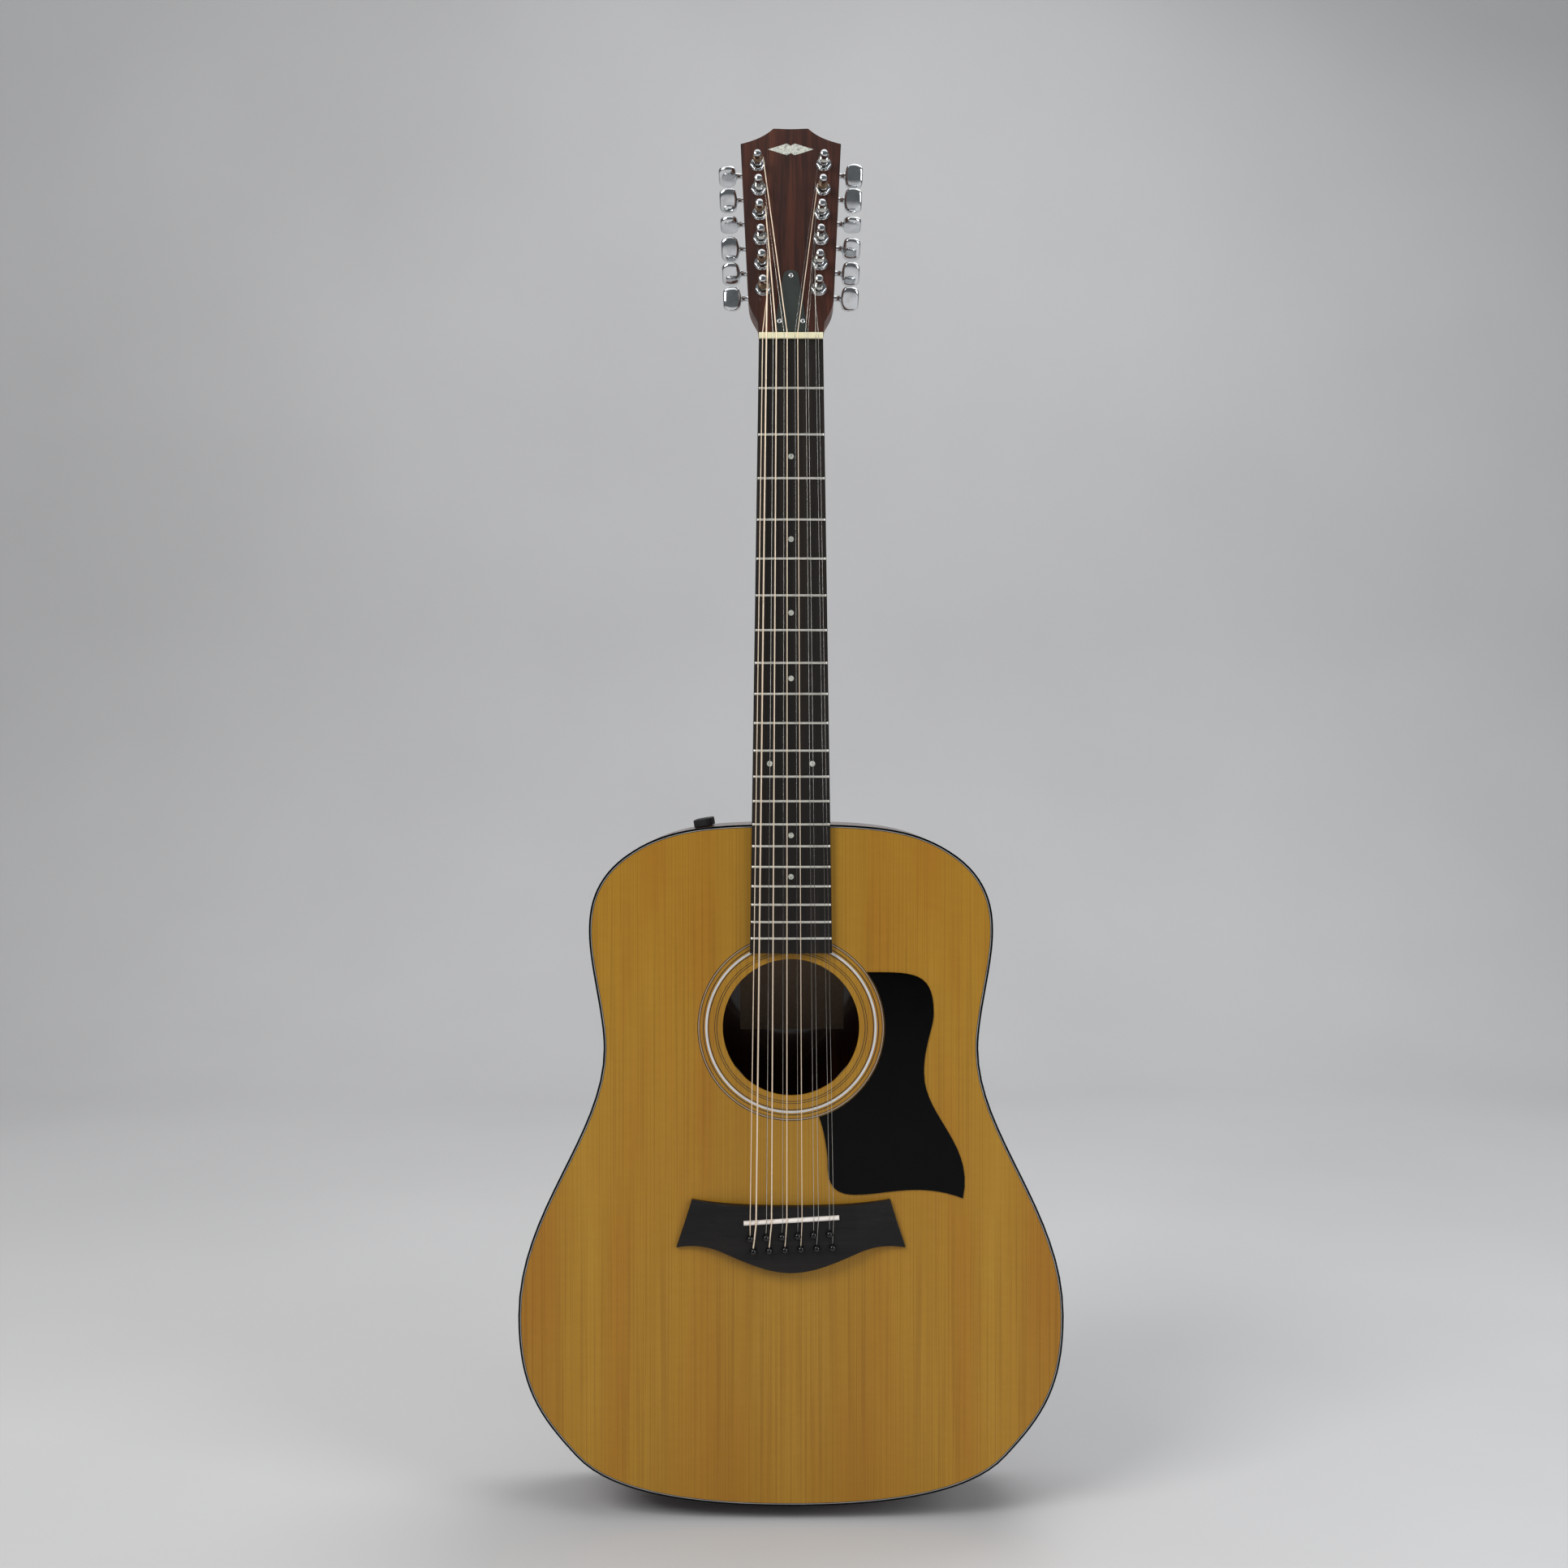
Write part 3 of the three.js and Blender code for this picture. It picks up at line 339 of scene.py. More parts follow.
LOOKS = {
    "spruce": spruce(),
    "raw_spruce": wood("raw_spruce", "raw_spruce", ("#a8895c", "#bd9e70", "#cbb084"),
        (700, 700, 8), (40, 40, 3), (0.7, 0)),
    "back": wood("back_mahogany", "mahogany", ("#3c1a0e", "#532814", "#6b371d"),
        (650, 60, 9), (55, 8, 3), (0.32, 0.6), 0.75, True, (14, 1, 1)),
    "side": wood("side_mahogany", "mahogany", ("#3c1a0e", "#522714", "#67351c"),
        (9, 620, 9), (4, 60, 4), (0.32, 0.35), 0.75),
    "neck": wood("neck_mahogany", "neck_mahogany", ("#43210f", "#5a3019", "#6f3f23"),
        (420, 420, 8), (60, 60, 3), (0.42, 0.12), 0.7),
    "raw_mahogany": wood("raw_mahogany", "raw_mahogany", ("#6d4228", "#835436", "#976747"),
        (500, 500, 9), (50, 50, 4), (0.72, 0), 0.6),
    "rosewood": wood("rosewood_face", "rosewood", ("#2a120c", "#401f15", "#5b3120"),
        (520, 60, 10), (95, 10, 4), (0.34, 0.2), 0.8),
    "ebony": wood("ebony_board", "ebony", ("#0f0c0a", "#191411", "#251d17"),
        (700, 700, 9), (120, 120, 3), (0.5, 0), 0.5),
    "bridge_ebony": wood("ebony_bridge", "ebony", ("#0c0a0a", "#131010", "#1e1917"),
        (10, 600, 600), (5, 90, 90), (0.48, 0), 0.6),
    "binding": plastic("black_binding", "black_binding", "#030303", "#060606", 0.2, 0.02, 0.15),
    "guard": plastic("black_pickguard", "black_pickguard", "#020202", "#040404", 0.1, 0.02, 0.1),
    "cover": plastic("cover_plastic", "black_plastic", "#1b2320", "#252d29", 0.42),
    "matt_black": plastic("matt_plastic", "black_plastic", "#131314", "#1e1e20", 0.5),
    "pin": plastic("pin_plastic", "pin_plastic", "#030303", "#060607", 0.08),
    "nut_bone": plastic("nut_bone", "bone", "#e6dfb6", "#f3eecb", 0.38, 0.2),
    "saddle_bone": plastic("saddle_bone", "bone", "#f0e6dd", "#fbf4ee", 0.32, 0.2),
    "trim_white": plastic("trim_white", "rosette_trim", "#c4c5c8", "#d6d7d9", 0.3, 0.3),
    "trim_grey": plastic("trim_grey", "rosette_trim", "#8f8f90", "#a9a9aa", 0.3, 0.3),
    "trim_black": plastic("trim_black", "rosette_trim", "#0d0d0c", "#1a1917", 0.3, 0.3),
    "chrome": metal("chrome", "chrome", "#dfe1e3", "#c3c5c6", 0.1),
    "steel": metal("machined_steel", "steel", "#9a9a9b", "#767678", 0.35, (900, 900, 40)),
    "brass": metal("wheel_brass", "chrome", "#c2a15a", "#94763c", 0.3),
    "nickel": metal("nickel_fret", "nickel_fret", "#f1efe6", "#d6d3c8", 0.36, (40, 900, 900)),
    "plain": metal("plain_wire", "plain_string", "#d3d1ca", "#b4b2ab", 0.13, (300, 300, 20)),
    # Bronze strings: a real bronze tone, lightened towards cream as a painted highlight. The post windings
    # below are the same wire, darkened as painted shade.
    "bronze": wound_wire("bronze_wire_painted_highlight", "bronze_string", "#fff0dc", "#f0d2b0"),
    # The same bronze wire wound on the posts, its colours darkened as painted shade.
    "painted_shade_coil": wound_wire("painted_shade_winding_wire", "bronze_string", "#8f7358", "#3a2d22"),
    "pearl": pearl(),
    "paper": paper(),
}


# ---- shapes: (vertices, faces), millimetres

def lerp(a, b, t):
    return a + (b - a) * t


def steps(start, end, count):
    """The values of count equal steps from start to end, with both of them."""
    return [lerp(start, end, k / count) for k in range(count + 1)]


def smoothstep(low, high, x):
    t = min(1.0, max(0.0, (x - low) / (high - low)))
    return t * t * (3 - 2 * t)


def on_table(table, x):
    """The value at x on straight runs between (x, value) rows that rise in x."""
    for (x0, y0), (x1, y1) in zip(table, table[1:]):
        if x <= x1:
            return lerp(y0, y1, max(0.0, (x - x0) / (x1 - x0)))
    return table[-1][1]


def bezier(chain, pieces=12):
    """Points along Bezier curves that share their ends: the curves' handles, (x, z), in one row."""
    points = []
    for k in range(0, len(chain) - 1, 3):
        handles = [Vector((x, z, 0)) for x, z in chain[k:k + 4]]
        points += [p.xy for p in interpolate_bezier(*handles, pieces + 1)[1 if points else 0:]]
    return points


def mirrored_outline(half):
    return half + [Vector((-p.x, p.y)) for p in reversed(half) if p.x > 1e-6]


def around(count):
    """Cosine and sine of the equal steps of one turn."""
    angles = [2 * pi * k / count for k in range(count)]
    return [(cos(a), sin(a)) for a in angles]


def circle(radius, sides=64, x=0, z=0):
    return [Vector((x + radius * c, z + radius * s)) for c, s in around(sides)]


def rounded_box(x0, x1, z0, z1, radius):
    """A rectangle with round corners, as an outline."""
    left, right, low, high = x0 + radius, x1 - radius, z0 + radius, z1 - radius
    points = []
    for quarter, (x, z) in enumerate(((right, high), (left, high), (left, low), (right, low))):
        for a in steps(pi / 2 * quarter, pi / 2 * (quarter + 1), 6):
            points.append(Vector((x + radius * cos(a), z + radius * sin(a))))
    return points


def offset(points, distance):
    """An outline moved towards its inside by the same distance all round."""
    after = points[1:] + points[:1]
    area = sum(a.x * b.y - b.x * a.y for a, b in zip(points, after))
    reach = copysign(distance, area * distance)
    moved = []
    for before, here, ahead in zip(points[-1:] + points[:-1], points, after):
        first = (here - before).normalized().orthogonal()
        second = (ahead - here).normalized().orthogonal()
        normal = (first + second).normalized()
        moved.append(here + normal * reach / max(0.3, normal.dot(first)))
    return moved


def loft(rings, loop=False, strip_end=False):
    """A skin over rings of equal size, capped at both ends unless it closes on itself. strip_end caps
    the last ring with a strip between its first and second half, for an end that isn't flat."""
    size = len(rings[0])
    verts = [p for ring in rings for p in ring]
    faces = []
    for a in range(len(rings) if loop else len(rings) - 1):
        b = (a + 1) % len(rings)
        for k in range(size):
            k2 = (k + 1) % size
            faces.append((a * size + k, a * size + k2, b * size + k2, b * size + k))
    if loop:
        return verts, faces
    faces.append(tuple(reversed(range(size))))
    last = (len(rings) - 1) * size
    if not strip_end:
        faces.append(tuple(range(last, last + size)))
        return verts, faces
    for k in range(size // 2):
        corners = (k, k + 1, (size - k - 1) % size, (size - k) % size)
        faces.append(tuple(dict.fromkeys(last + c for c in corners)))
    return verts, faces


def turned(profile, sides=32, shape=lambda radius, angle: radius):
    """A piece turned about y from a profile of (radius, y), which closes on itself unless both of its
    ends are on the axis. shape can vary the radius."""
    verts, faces = [], []
    size = len(profile)
    spans = size - 1 if profile[0][0] == 0 == profile[-1][0] else size
    for k in range(sides):
        angle = 2 * pi * k / sides
        c, s = cos(angle), sin(angle)
        verts += [(shape(r, angle) * c, y, shape(r, angle) * s) for r, y in profile]
        a, b = k * size, (k + 1) % sides * size
        faces += [(a + n, a + (n + 1) % size, b + (n + 1) % size, b + n) for n in range(spans)]
    return verts, faces


def washer(inner, outer, y0, y1, *style):
    """A turned ring with a rectangular section; style is the sides and shape of turned."""
    return turned([(inner, y0), (outer, y0), (outer, y1), (inner, y1)], *style)


def hexagon(radius, angle):
    """Radius of a hexagon whose corners reach the given radius."""
    step = pi / 3
    return radius * cos(step / 2) / cos((angle % step) - step / 2)


def moved(shape, rule):
    verts, faces = shape
    return [rule(*v) for v in verts], faces


def shifted(shape, x=0, y=0, z=0):
    return moved(shape, lambda px, py, pz: (px + x, py + y, pz + z))


def placed(shape, matrix):
    return moved(shape, lambda *point: matrix @ Vector(point))


def along_z(shape, y=0):
    return moved(shape, lambda px, py, pz: (px, pz + y, py))


def along_x(shape, side=1):
    return moved(shape, lambda px, py, pz: (side * py, px, pz))


def joined(*shapes):
    verts, faces = [], []
    for some, more in shapes:
        faces += [tuple(i + len(verts) for i in face) for face in more]
        verts += some
    return verts, faces


def block(xs, ys, zs):
    corners = ((xs[0], zs[0]), (xs[1], zs[0]), (xs[1], zs[1]), (xs[0], zs[1]))
    return loft([[(x, y, z) for x, z in corners] for y in ys])


def rod(radius, y0, y1, sides=24, x=0, z=0):
    return shifted(turned([(0, y0), (radius, y0), (radius, y1), (0, y1)], sides), x, 0, z)


def tube(points, radius, sides=12):
    """A round wire through points."""
    points = [Vector(p) for p in points]
    rings = []
    for k, here in enumerate(points):
        ahead = points[min(k + 1, len(points) - 1)] - points[max(k - 1, 0)]
        across = ahead.cross(Vector((1, 0, 0))).normalized()
        other = ahead.cross(across).normalized()
        rings.append([here + radius * (c * across + s * other) for c, s in around(sides)])
    return loft(rings)


def plate(outline, y0, y1, holes=(), edge=0.3, hole_edge=None):
    """A flat sheet with rounded edges and holes: (x, z) outlines between two depths."""
    verts, faces = [], []
    caps = {0: [], 5: []}
    starts = []
    for number, points in enumerate([outline, *holes]):
        inward = 1 if number == 0 else -1
        e = edge if number == 0 or hole_edge is None else hole_edge
        rows = [(e, y0), (0.3 * e, y0 + 0.3 * e), (0, y0 + e), (0, y1 - e), (0.3 * e, y1 - 0.3 * e), (e, y1)]
        start, size = len(verts), len(points)
        starts.append((start, size))
        for row, (inset, y) in enumerate(rows):
            ring = offset(points, inward * inset) if inset else points
            verts += [(p.x, y, p.y) for p in ring]
            if row in caps:
                caps[row].append([Vector((p.x, p.y, 0)) for p in ring])
        for row in range(5):
            a, b = start + row * size, start + (row + 1) * size
            faces += [(a + k, a + (k + 1) % size, b + (k + 1) % size, b + k) for k in range(size)]
    for row, loops in caps.items():
        numbers = [start + row * size + k for start, size in starts for k in range(size)]
        faces += [tuple(numbers[k] for k in face) for face in tessellate_polygon(loops)]
    return verts, faces


def sliced(shape, cuts):
    """The same shape with its faces split where x crosses each cut."""
    work = bmesh.new()
    points = [work.verts.new(v) for v in shape[0]]
    for face in shape[1]:
        work.faces.new([points[i] for i in face])
    for x in cuts:
        everything = work.verts[:] + work.edges[:] + work.faces[:]
        bmesh.ops.bisect_plane(work, geom=everything, plane_co=(x, 0, 0), plane_no=(1, 0, 0))
    work.verts.index_update()
    made = [tuple(v.co) for v in work.verts], [tuple(v.index for v in f.verts) for f in work.faces]
    work.free()
    return made


# ---- pieces

def add_object(name, data):
    obj = bpy.data.objects.new(name, data)
    bpy.context.scene.collection.objects.link(obj)
    return obj


def add_mesh(name, shape, space):
    verts, faces = shape
    mesh = bpy.data.meshes.new(name)
    mesh.from_pydata([space @ Vector(v) for v in verts], [], faces)
    work = bmesh.new()
    work.from_mesh(mesh)
    bmesh.ops.remove_doubles(work, verts=work.verts, dist=WELD)
    bmesh.ops.dissolve_degenerate(work, edges=work.edges, dist=WELD)
    bmesh.ops.recalc_face_normals(work, faces=work.faces)
    work.to_mesh(mesh)
    work.free()
    return add_object(name, mesh)


def carve(obj, cutters, space):
    """Cuts shapes out of a piece for good."""
    tool = add_mesh("tool", joined(*cutters), space)
    cut = obj.modifiers.new("cut", "BOOLEAN")
    cut.object = tool
    cut.solver = "EXACT"
    graph = bpy.context.evaluated_depsgraph_get()
    mesh = bpy.data.meshes.new_from_object(obj.evaluated_get(graph))
    obj.modifiers.clear()
    obj.data = mesh
    bpy.data.objects.remove(tool)


def paint(obj, look):
    obj.data.materials.clear()
    obj.data.materials.append(LOOKS[look].material)


def round_edges(obj, width, angle=30):
    """Bevels the edges sharper than an angle, in degrees. width is in millimetres."""
    bevel = obj.modifiers.new("rounding", "BEVEL")
    bevel.width = width * MM
    bevel.segments = 2
    bevel.limit_method = "ANGLE"
    bevel.angle_limit = radians(angle)


def piece(name, shape, look, space=BODY, body="instrument", replaces=(), cutters=(), rounding=0,
          sharp=32, smoothing=0):
    """One separate piece of the guitar. rounding bevels its hard edges, by millimetres."""
    obj = add_mesh(name, shape, space)
    if cutters:
        carve(obj, cutters, space)
    paint(obj, look)
    obj.data.shade_smooth()
    obj.data.set_sharp_from_angle(angle=radians(sharp))
    if rounding:
        round_edges(obj, rounding, sharp)
    if smoothing:
        rounded = obj.modifiers.new("smoothing", "SUBSURF")
        rounded.levels = smoothing
        rounded.render_levels = smoothing
    else:
        flats = obj.modifiers.new("flat faces stay flat", "WEIGHTED_NORMAL")
        flats.keep_sharp = True
        flats.weight = 80
    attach(obj, body)
    if replaces:
        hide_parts(*replaces)


# ---- body

OUTLINE_HALF = bezier(BODY_HALF, 16)
OUTLINE = mirrored_outline(OUTLINE_HALF)
TAIL = len(OUTLINE_HALF) - 1
STATIONS = {
    "treble": list(range(TAIL + 1)),
    "bass": list(range(TAIL, len(OUTLINE))) + [0],
    "loop": list(range(len(OUTLINE))),
}


def back_y(x, z):
    """The back's outer face: a shallow sphere."""
    return BODY_DEPTH - (x * x + (z - DOME_Z) ** 2) / (2 * DOME_RADIUS)


def front(depth):
    return lambda x, z: depth


def back(depth):
    return lambda x, z: back_y(x, z) - depth


def at_depths(points, profile):
    return [(p.x, rule(p.x, p.y), p.y) for p, (_, rule) in zip(points, profile)]


def rim(profile, part="loop"):
    """A strip round the body. Each point of its section is (inset, depth rule)."""
    rows = [offset(OUTLINE, inset) if inset else OUTLINE for inset, _ in profile]
    rings = [at_depths([row[i] for row in rows], profile) for i in STATIONS[part]]
    return loft(rings, loop=part == "loop")


def strip_section(inner, outer, face, depth):
    """A rectangular section between two insets, from a face inwards."""
    return [(inner, face(0)), (outer, face(0)), (outer, face(depth)), (inner, face(depth))]


def make_sides():
    width, lip = BINDING["width"], BINDING["depth"]
    under = PLATE_THICKNESS + 0.05
    section = [
        (0, front(lip)), (0, back(lip)), (width, back(lip)), (width, back(under)),
        (SIDE_THICKNESS + 0.4, back(under)), (SIDE_THICKNESS, back(under + 1)),
        (SIDE_THICKNESS, front(under + 1)), (SIDE_THICKNESS + 0.4, front(under)),
        (width, front(under)), (width, front(lip)),
    ]
    shaft = along_z(rod(3.5, -8, 8))
    shafts = [placed(shaft, BODY.inverted() @ control_frame(name)) for name in CONTROLS]
    pin_hole = along_z(rod(6.3, -4, 8), ENDPIN_Y)
    piece("side_bass", rim(section, "bass"), "side", replaces=["sides"], cutters=[*shafts, pin_hole])
    piece("side_treble", rim(section, "treble"), "side", replaces=["sides"], cutters=[pin_hole])
    wedge = block((-6, 6), (lip + 0.2, back_y(0, 0) - lip - 0.2), (-0.04, 1.2))
    piece("end_wedge", wedge, "binding", cutters=[pin_hole])


def make_bindings():
    width, depth, edge = BINDING["width"], BINDING["depth"], BINDING["round"]
    for label, face in (("front", front), ("back", back)):
        section = [
            (edge, face(0)), (width, face(0)), (width, face(depth)), (0, face(depth)),
            (0, face(edge)), (0.3 * edge, face(0.3 * edge)),
        ]
        piece(f"{label}_binding_strip", rim(section), "binding", replaces=[f"binding_{label}"])
    for tone, inner, outer in PURFLING:
        section = strip_section(inner, outer, front, 1.6)
        piece(f"purfling_line_{tone}", rim(section), f"trim_{tone}")
    section = strip_section(width, width + 0.5, back, 1.6)
    piece("back_purfling_line", rim(section), "trim_white")


def make_linings():
    """Kerfed strips inside the rim: a row of small blocks with saw cuts between them."""
    pitch, length, keep_clear = 7, 5.8, 41
    for label, face in (("front", front), ("back", back)):
        near, far = PLATE_THICKNESS + 0.2, PLATE_THICKNESS + 12
        section = [(2.7, face(near)), (8, face(near)), (8, face(near + 3)), (2.7, face(far))]
        rows = [offset(OUTLINE, inset) for inset, _ in section]
        travelled, blocks = 0, []
        for i, here in enumerate(OUTLINE):
            j = (i + 1) % len(OUTLINE)
            run = (OUTLINE[j] - here).length
            while travelled + length < run:
                shares = [(travelled + d) / run for d in (0, length)]
                spots = [[row[i].lerp(row[j], t) for row in rows] for t in shares]
                travelled += pitch
                x, z = spots[0][0]
                if abs(x) >= keep_clear or 30 < z < 440:
                    blocks.append(loft([at_depths(spot, section) for spot in spots]))
            travelled = max(0, travelled - run)
        piece(f"kerfed_lining_{label}", joined(*blocks), "raw_mahogany")


def make_back():
    rings = [0, 0.18, 0.36, 0.54, 0.7, 0.85, 1]
    section = [(r, 0) for r in rings] + [(r, PLATE_THICKNESS) for r in reversed(rings)]
    edge = offset(OUTLINE, BINDING["width"] + 0.5)
    for part in ("bass", "treble"):
        shells = []
        for i in STATIONS[part]:
            spots = [(edge[i].x * r, lerp(BODY_MIDDLE_Z, edge[i].y, r), depth) for r, depth in section]
            shells.append([(x, back_y(x, z) - depth, z) for x, z, depth in spots])
        piece(f"back_plate_{part}", loft(shells), "back", replaces=["back_plate"])
    half, proud = 2.2, 0.03
    section = ((-half, proud), (half, proud), (half, -1), (-half, -1))
    strip = [[(x, back_y(x, z) + y, z) for x, y in section] for z in steps(4, BODY_LENGTH - 4, 40)]
    piece("back_seam_strip", loft(strip), "rosewood")


def make_soundboard():
    hole = circle(SOUNDHOLE["radius"], 96, 0, SOUNDHOLE["z"])
    top = plate(offset(OUTLINE, TOP_EDGE), 0, PLATE_THICKNESS, [hole], 0.08, 0.5)
    piece("top_plate", top, "spruce", replaces=["soundboard"])
    for number, (inner, outer, tone) in enumerate(ROSETTE, 1):
        ring = washer(inner, outer, -0.02, 1, 160)
        piece(f"rosette_ring_{number}", shifted(ring, z=SOUNDHOLE["z"]), f"trim_{tone}")


def make_pickguard():
    ring_top, ring_bottom = (56.3, 398), (20.8, 290.2)
    edge = bezier([
        ring_top, (92.3, 398.2), (106.2, 398.5), (106.2, 367.5), (106.2, 356), (99, 344), (99, 323),
        (99, 290), (137, 271), (128, 229.6), (96, 242), (72, 232.3), (48, 232.3),
        (31.3, 232.3), (27.2, 240), (27.2, 256.3), (27.2, 264), (24.5, 281), ring_bottom,
    ], 14)
    start, stop = [atan2(z - SOUNDHOLE["z"], x) for x, z in (ring_bottom, ring_top)]
    for angle in steps(start, stop, 48)[1:-1]:
        x, z = PICKGUARD["ring"] * cos(angle), PICKGUARD["ring"] * sin(angle)
        edge.append(Vector((x, z + SOUNDHOLE["z"])))
    piece("guard_plate", plate(edge, PICKGUARD["face"], -0.02, edge=0.35), "guard", replaces=["pickguard"])


def make_label():
    """A plain paper label on the inside of the back, under the soundhole."""
    rows = []
    for z in steps(340, 402, 8):
        under = [(x, back_y(x, z) - PLATE_THICKNESS - 0.05, z) for x in steps(-40.5, 42.8, 12)]
        rows.append(under + [(x, y - 0.25, z) for x, y, z in under[::-1]])
    piece("paper_label", loft(rows), "paper")


def make_strap_pin():
    profile = [
        (0, 30), (3.3, 30), (3.3, -12), (6.2, -12), (7, -11.4), (7, -10.2), (6.4, -9.6), (5.2, -8.4),
        (4.9, -7.2), (4.9, -4.2), (5.4, -3.2), (7.6, -2.4), (7.6, -0.05), (5.9, -0.05), (5.9, 42), (0, 42),
    ]
    piece("strap_pin_jack", along_z(turned(profile, 48), ENDPIN_Y), "chrome", replaces=["endpin_jack"])
    nut = washer(6, 9.6, 22.2, 24.6, 48, lambda r, a: hexagon(r, a) if r > 7 else r)
    piece("jack_nut", along_z(nut, ENDPIN_Y), "chrome", rounding=0.2)


# ---- controls

def control_frame(name):
    """A control knob's frame from its joint: +z is the outward normal of the shoulder."""
    joint = JOINTS[f"{name}_turn"]
    outward = Vector(joint["axis"])
    turn = outward.to_track_quat("Z", "Y").to_matrix().to_4x4()
    return Matrix.Translation(joint["pos_m"]) @ turn @ Matrix.Scale(MM, 4)


def make_controls():
    ribs = 20
    profile = [
        (0, -14), (3, -14), (3, 0.45), (6.5, 0.45), (7.0, 0.8), (7.2, 1.3), (7.2, 5.6), (6.9, 6.2),
        (6.2, 6.55), (5.2, 6.6), (4.7, 6.2), (0, 6.1),
    ]

    def ribbed(radius, angle):
        return radius - 0.16 * (1 + cos(ribs * angle)) if radius > 6.9 else radius

    for name in CONTROLS:
        space = control_frame(name)
        dial = along_z(turned(profile, ribs * 8, ribbed))
        piece(name.replace("knob", "dial"), dial, "matt_black", space, name, [name])
        mark = along_z(rod(0.55, 6.0, 6.2, 16, 0, 3.2))
        piece(name.replace("knob", "mark"), mark, "trim_white", space, name)


# ---- neck

def board_half(z):
    return lerp(NUT_HALF_WIDTH, BOARD_END_HALF_WIDTH, (NUT_Z - z) / (NUT_Z - BOARD_END_Z))


def board_y(x):
    return x * x / (2 * BOARD_CAMBER_RADIUS) - BOARD_THICKNESS


def fret_z(n):
    return NUT_Z - SCALE_LENGTH * (1 - 2 ** (-n / 12))


def neck_depth(z):
    shaft = lerp(14.6, 16.6, (NUT_Z - max(z, HEEL["start"])) / (NUT_Z - HEEL["start"]))
    sweep = max(0.0, (HEEL["start"] - z) / (HEEL["start"] - HEEL["full"]))
    return shaft + HEEL["growth"] * sweep ** HEEL["power"]


HEAD_FLARE = bezier([(24.9, 14), (27, 20), (32, 24), (32.3, 38)])
HEAD_WIDTHS = [(0, NUT_HALF_WIDTH), *[(p.y, p.x) for p in HEAD_FLARE], HEAD_SHOULDER[::-1]]
HEAD_TOP = bezier([
    (0, 181.6), (6, 181.6), (10, 182.2), (13.5, 182), (20.8, 174.4), (28, 171.5), HEAD_SHOULDER,
], 10)


def head_outline(start):
    flare = [p for p in reversed(HEAD_FLARE) if p.y > start]
    return mirrored_outline([*HEAD_TOP, *flare, Vector((on_table(HEAD_WIDTHS, start), start))])


def neck_ring(half, depth, power, place, taper=0.0):
    """A section of the neck: a superellipse behind a flat front. place puts (x, depth) in the body."""
    behind, ahead = [], []
    for a in steps(0, pi, 28):
        x = cos(a)
        y = min(HEEL["depth"], depth * max(0, 1 - abs(x) ** power) ** (1 / power))
        behind.append(place(half * x * (1 - taper * y / HEEL["span"]), y, abs(x)))
        ahead.append(place(half * x, 0, abs(x)))
    return behind + ahead[-2:0:-1]


def make_neck():
    rings = []
    heel = [NECK_START + 2.6 * k for k in range(31)]
    shaft = [592 + 12 * k for k in range(21)]
    for z in heel + shaft:
        def place(x, y, _, z=z):
            return x, y, z
        rings.append(neck_ring(board_half(z), neck_depth(z), 2, place, HEEL["taper"]))
    tilt = Matrix.Rotation(-HEAD_ANGLE, 4, "X")
    nut = Vector((0, 0, NUT_Z))
    for along in steps(-20, NECK_TO_HEAD, 16):
        share = smoothstep(-20, 30, along)
        lean = HEAD_ANGLE * smoothstep(-16, 14, along)
        run = Vector((0, 0, along))
        start = nut + (tilt @ run if along > 0 else run)
        half = board_half(NUT_Z + along) if along < 0 else on_table(HEAD_WIDTHS, along)
        backwards = Vector((0, cos(lean), -sin(lean)))

        def place(x, y, _, start=start, backwards=backwards):
            return start + backwards * y + Vector((x, 0, 0))
        rings.append(neck_ring(half, lerp(14.7, HEAD_WOOD, share), 2 * 14 ** share, place))
    top_table = [(p.x, p.y) for p in HEAD_TOP]
    shoulder_x, shoulder_s = HEAD_SHOULDER
    for k in range(1, 15):
        def place(x, y, part, share=k / 14):
            s = lerp(NECK_TO_HEAD, on_table(top_table, shoulder_x * part), share)
            return nut + tilt @ Vector((x, y, s))
        half = on_table(HEAD_WIDTHS, lerp(NECK_TO_HEAD, shoulder_s, k / 14))
        rings.append(neck_ring(half, HEAD_WOOD, 28, place))
    holes = [rod(POST_HOLE, -8, HEAD_WOOD + 8, x=side * post_x(i), z=post_s(i)) for side, i in TUNERS]
    holes = [placed(hole, BODY.inverted() @ HEAD) for hole in holes]
    channel = block((-3.6, 3.6), (-3, 9.8), (514, 885))
    piece("neck_wood", loft(rings, strip_end=True), "neck", replaces=["neck"], cutters=[*holes, channel])


def make_heel_cap():
    low, high = HEEL_CAP
    half = []
    for z in steps(NECK_START, 527.5, 18):
        reach = max(0.0, 1 - (high / neck_depth(z)) ** 2) ** 0.5
        half.append(Vector((board_half(z) * reach * (1 - HEEL["taper"]), z)))
    kept = [p for p in half if p.x > 0.8]
    outline = kept + [Vector((-p.x, p.y)) for p in reversed(kept)]
    piece("heel_cap_plate", plate(outline, low, high, edge=0.4), "ebony")


def make_fretboard():
    rings = []
    for z in steps(BOARD_END_Z, NUT_Z, 24):
        half = board_half(z)
        top = [(x, board_y(x), z) for x in steps(-half, half, 16)]
        rings.append(top + [(half, -0.05, z), (-half, -0.05, z)])
    middles = [fret_z(n) for n in range(1, FRET_COUNT + 1)]
    slots = [block((-40, 40), (-12, -5), (z - 0.28, z + 0.28)) for z in middles]
    piece("fretboard_slab", loft(rings), "ebony", replaces=["fretboard"], cutters=slots, rounding=0.35)


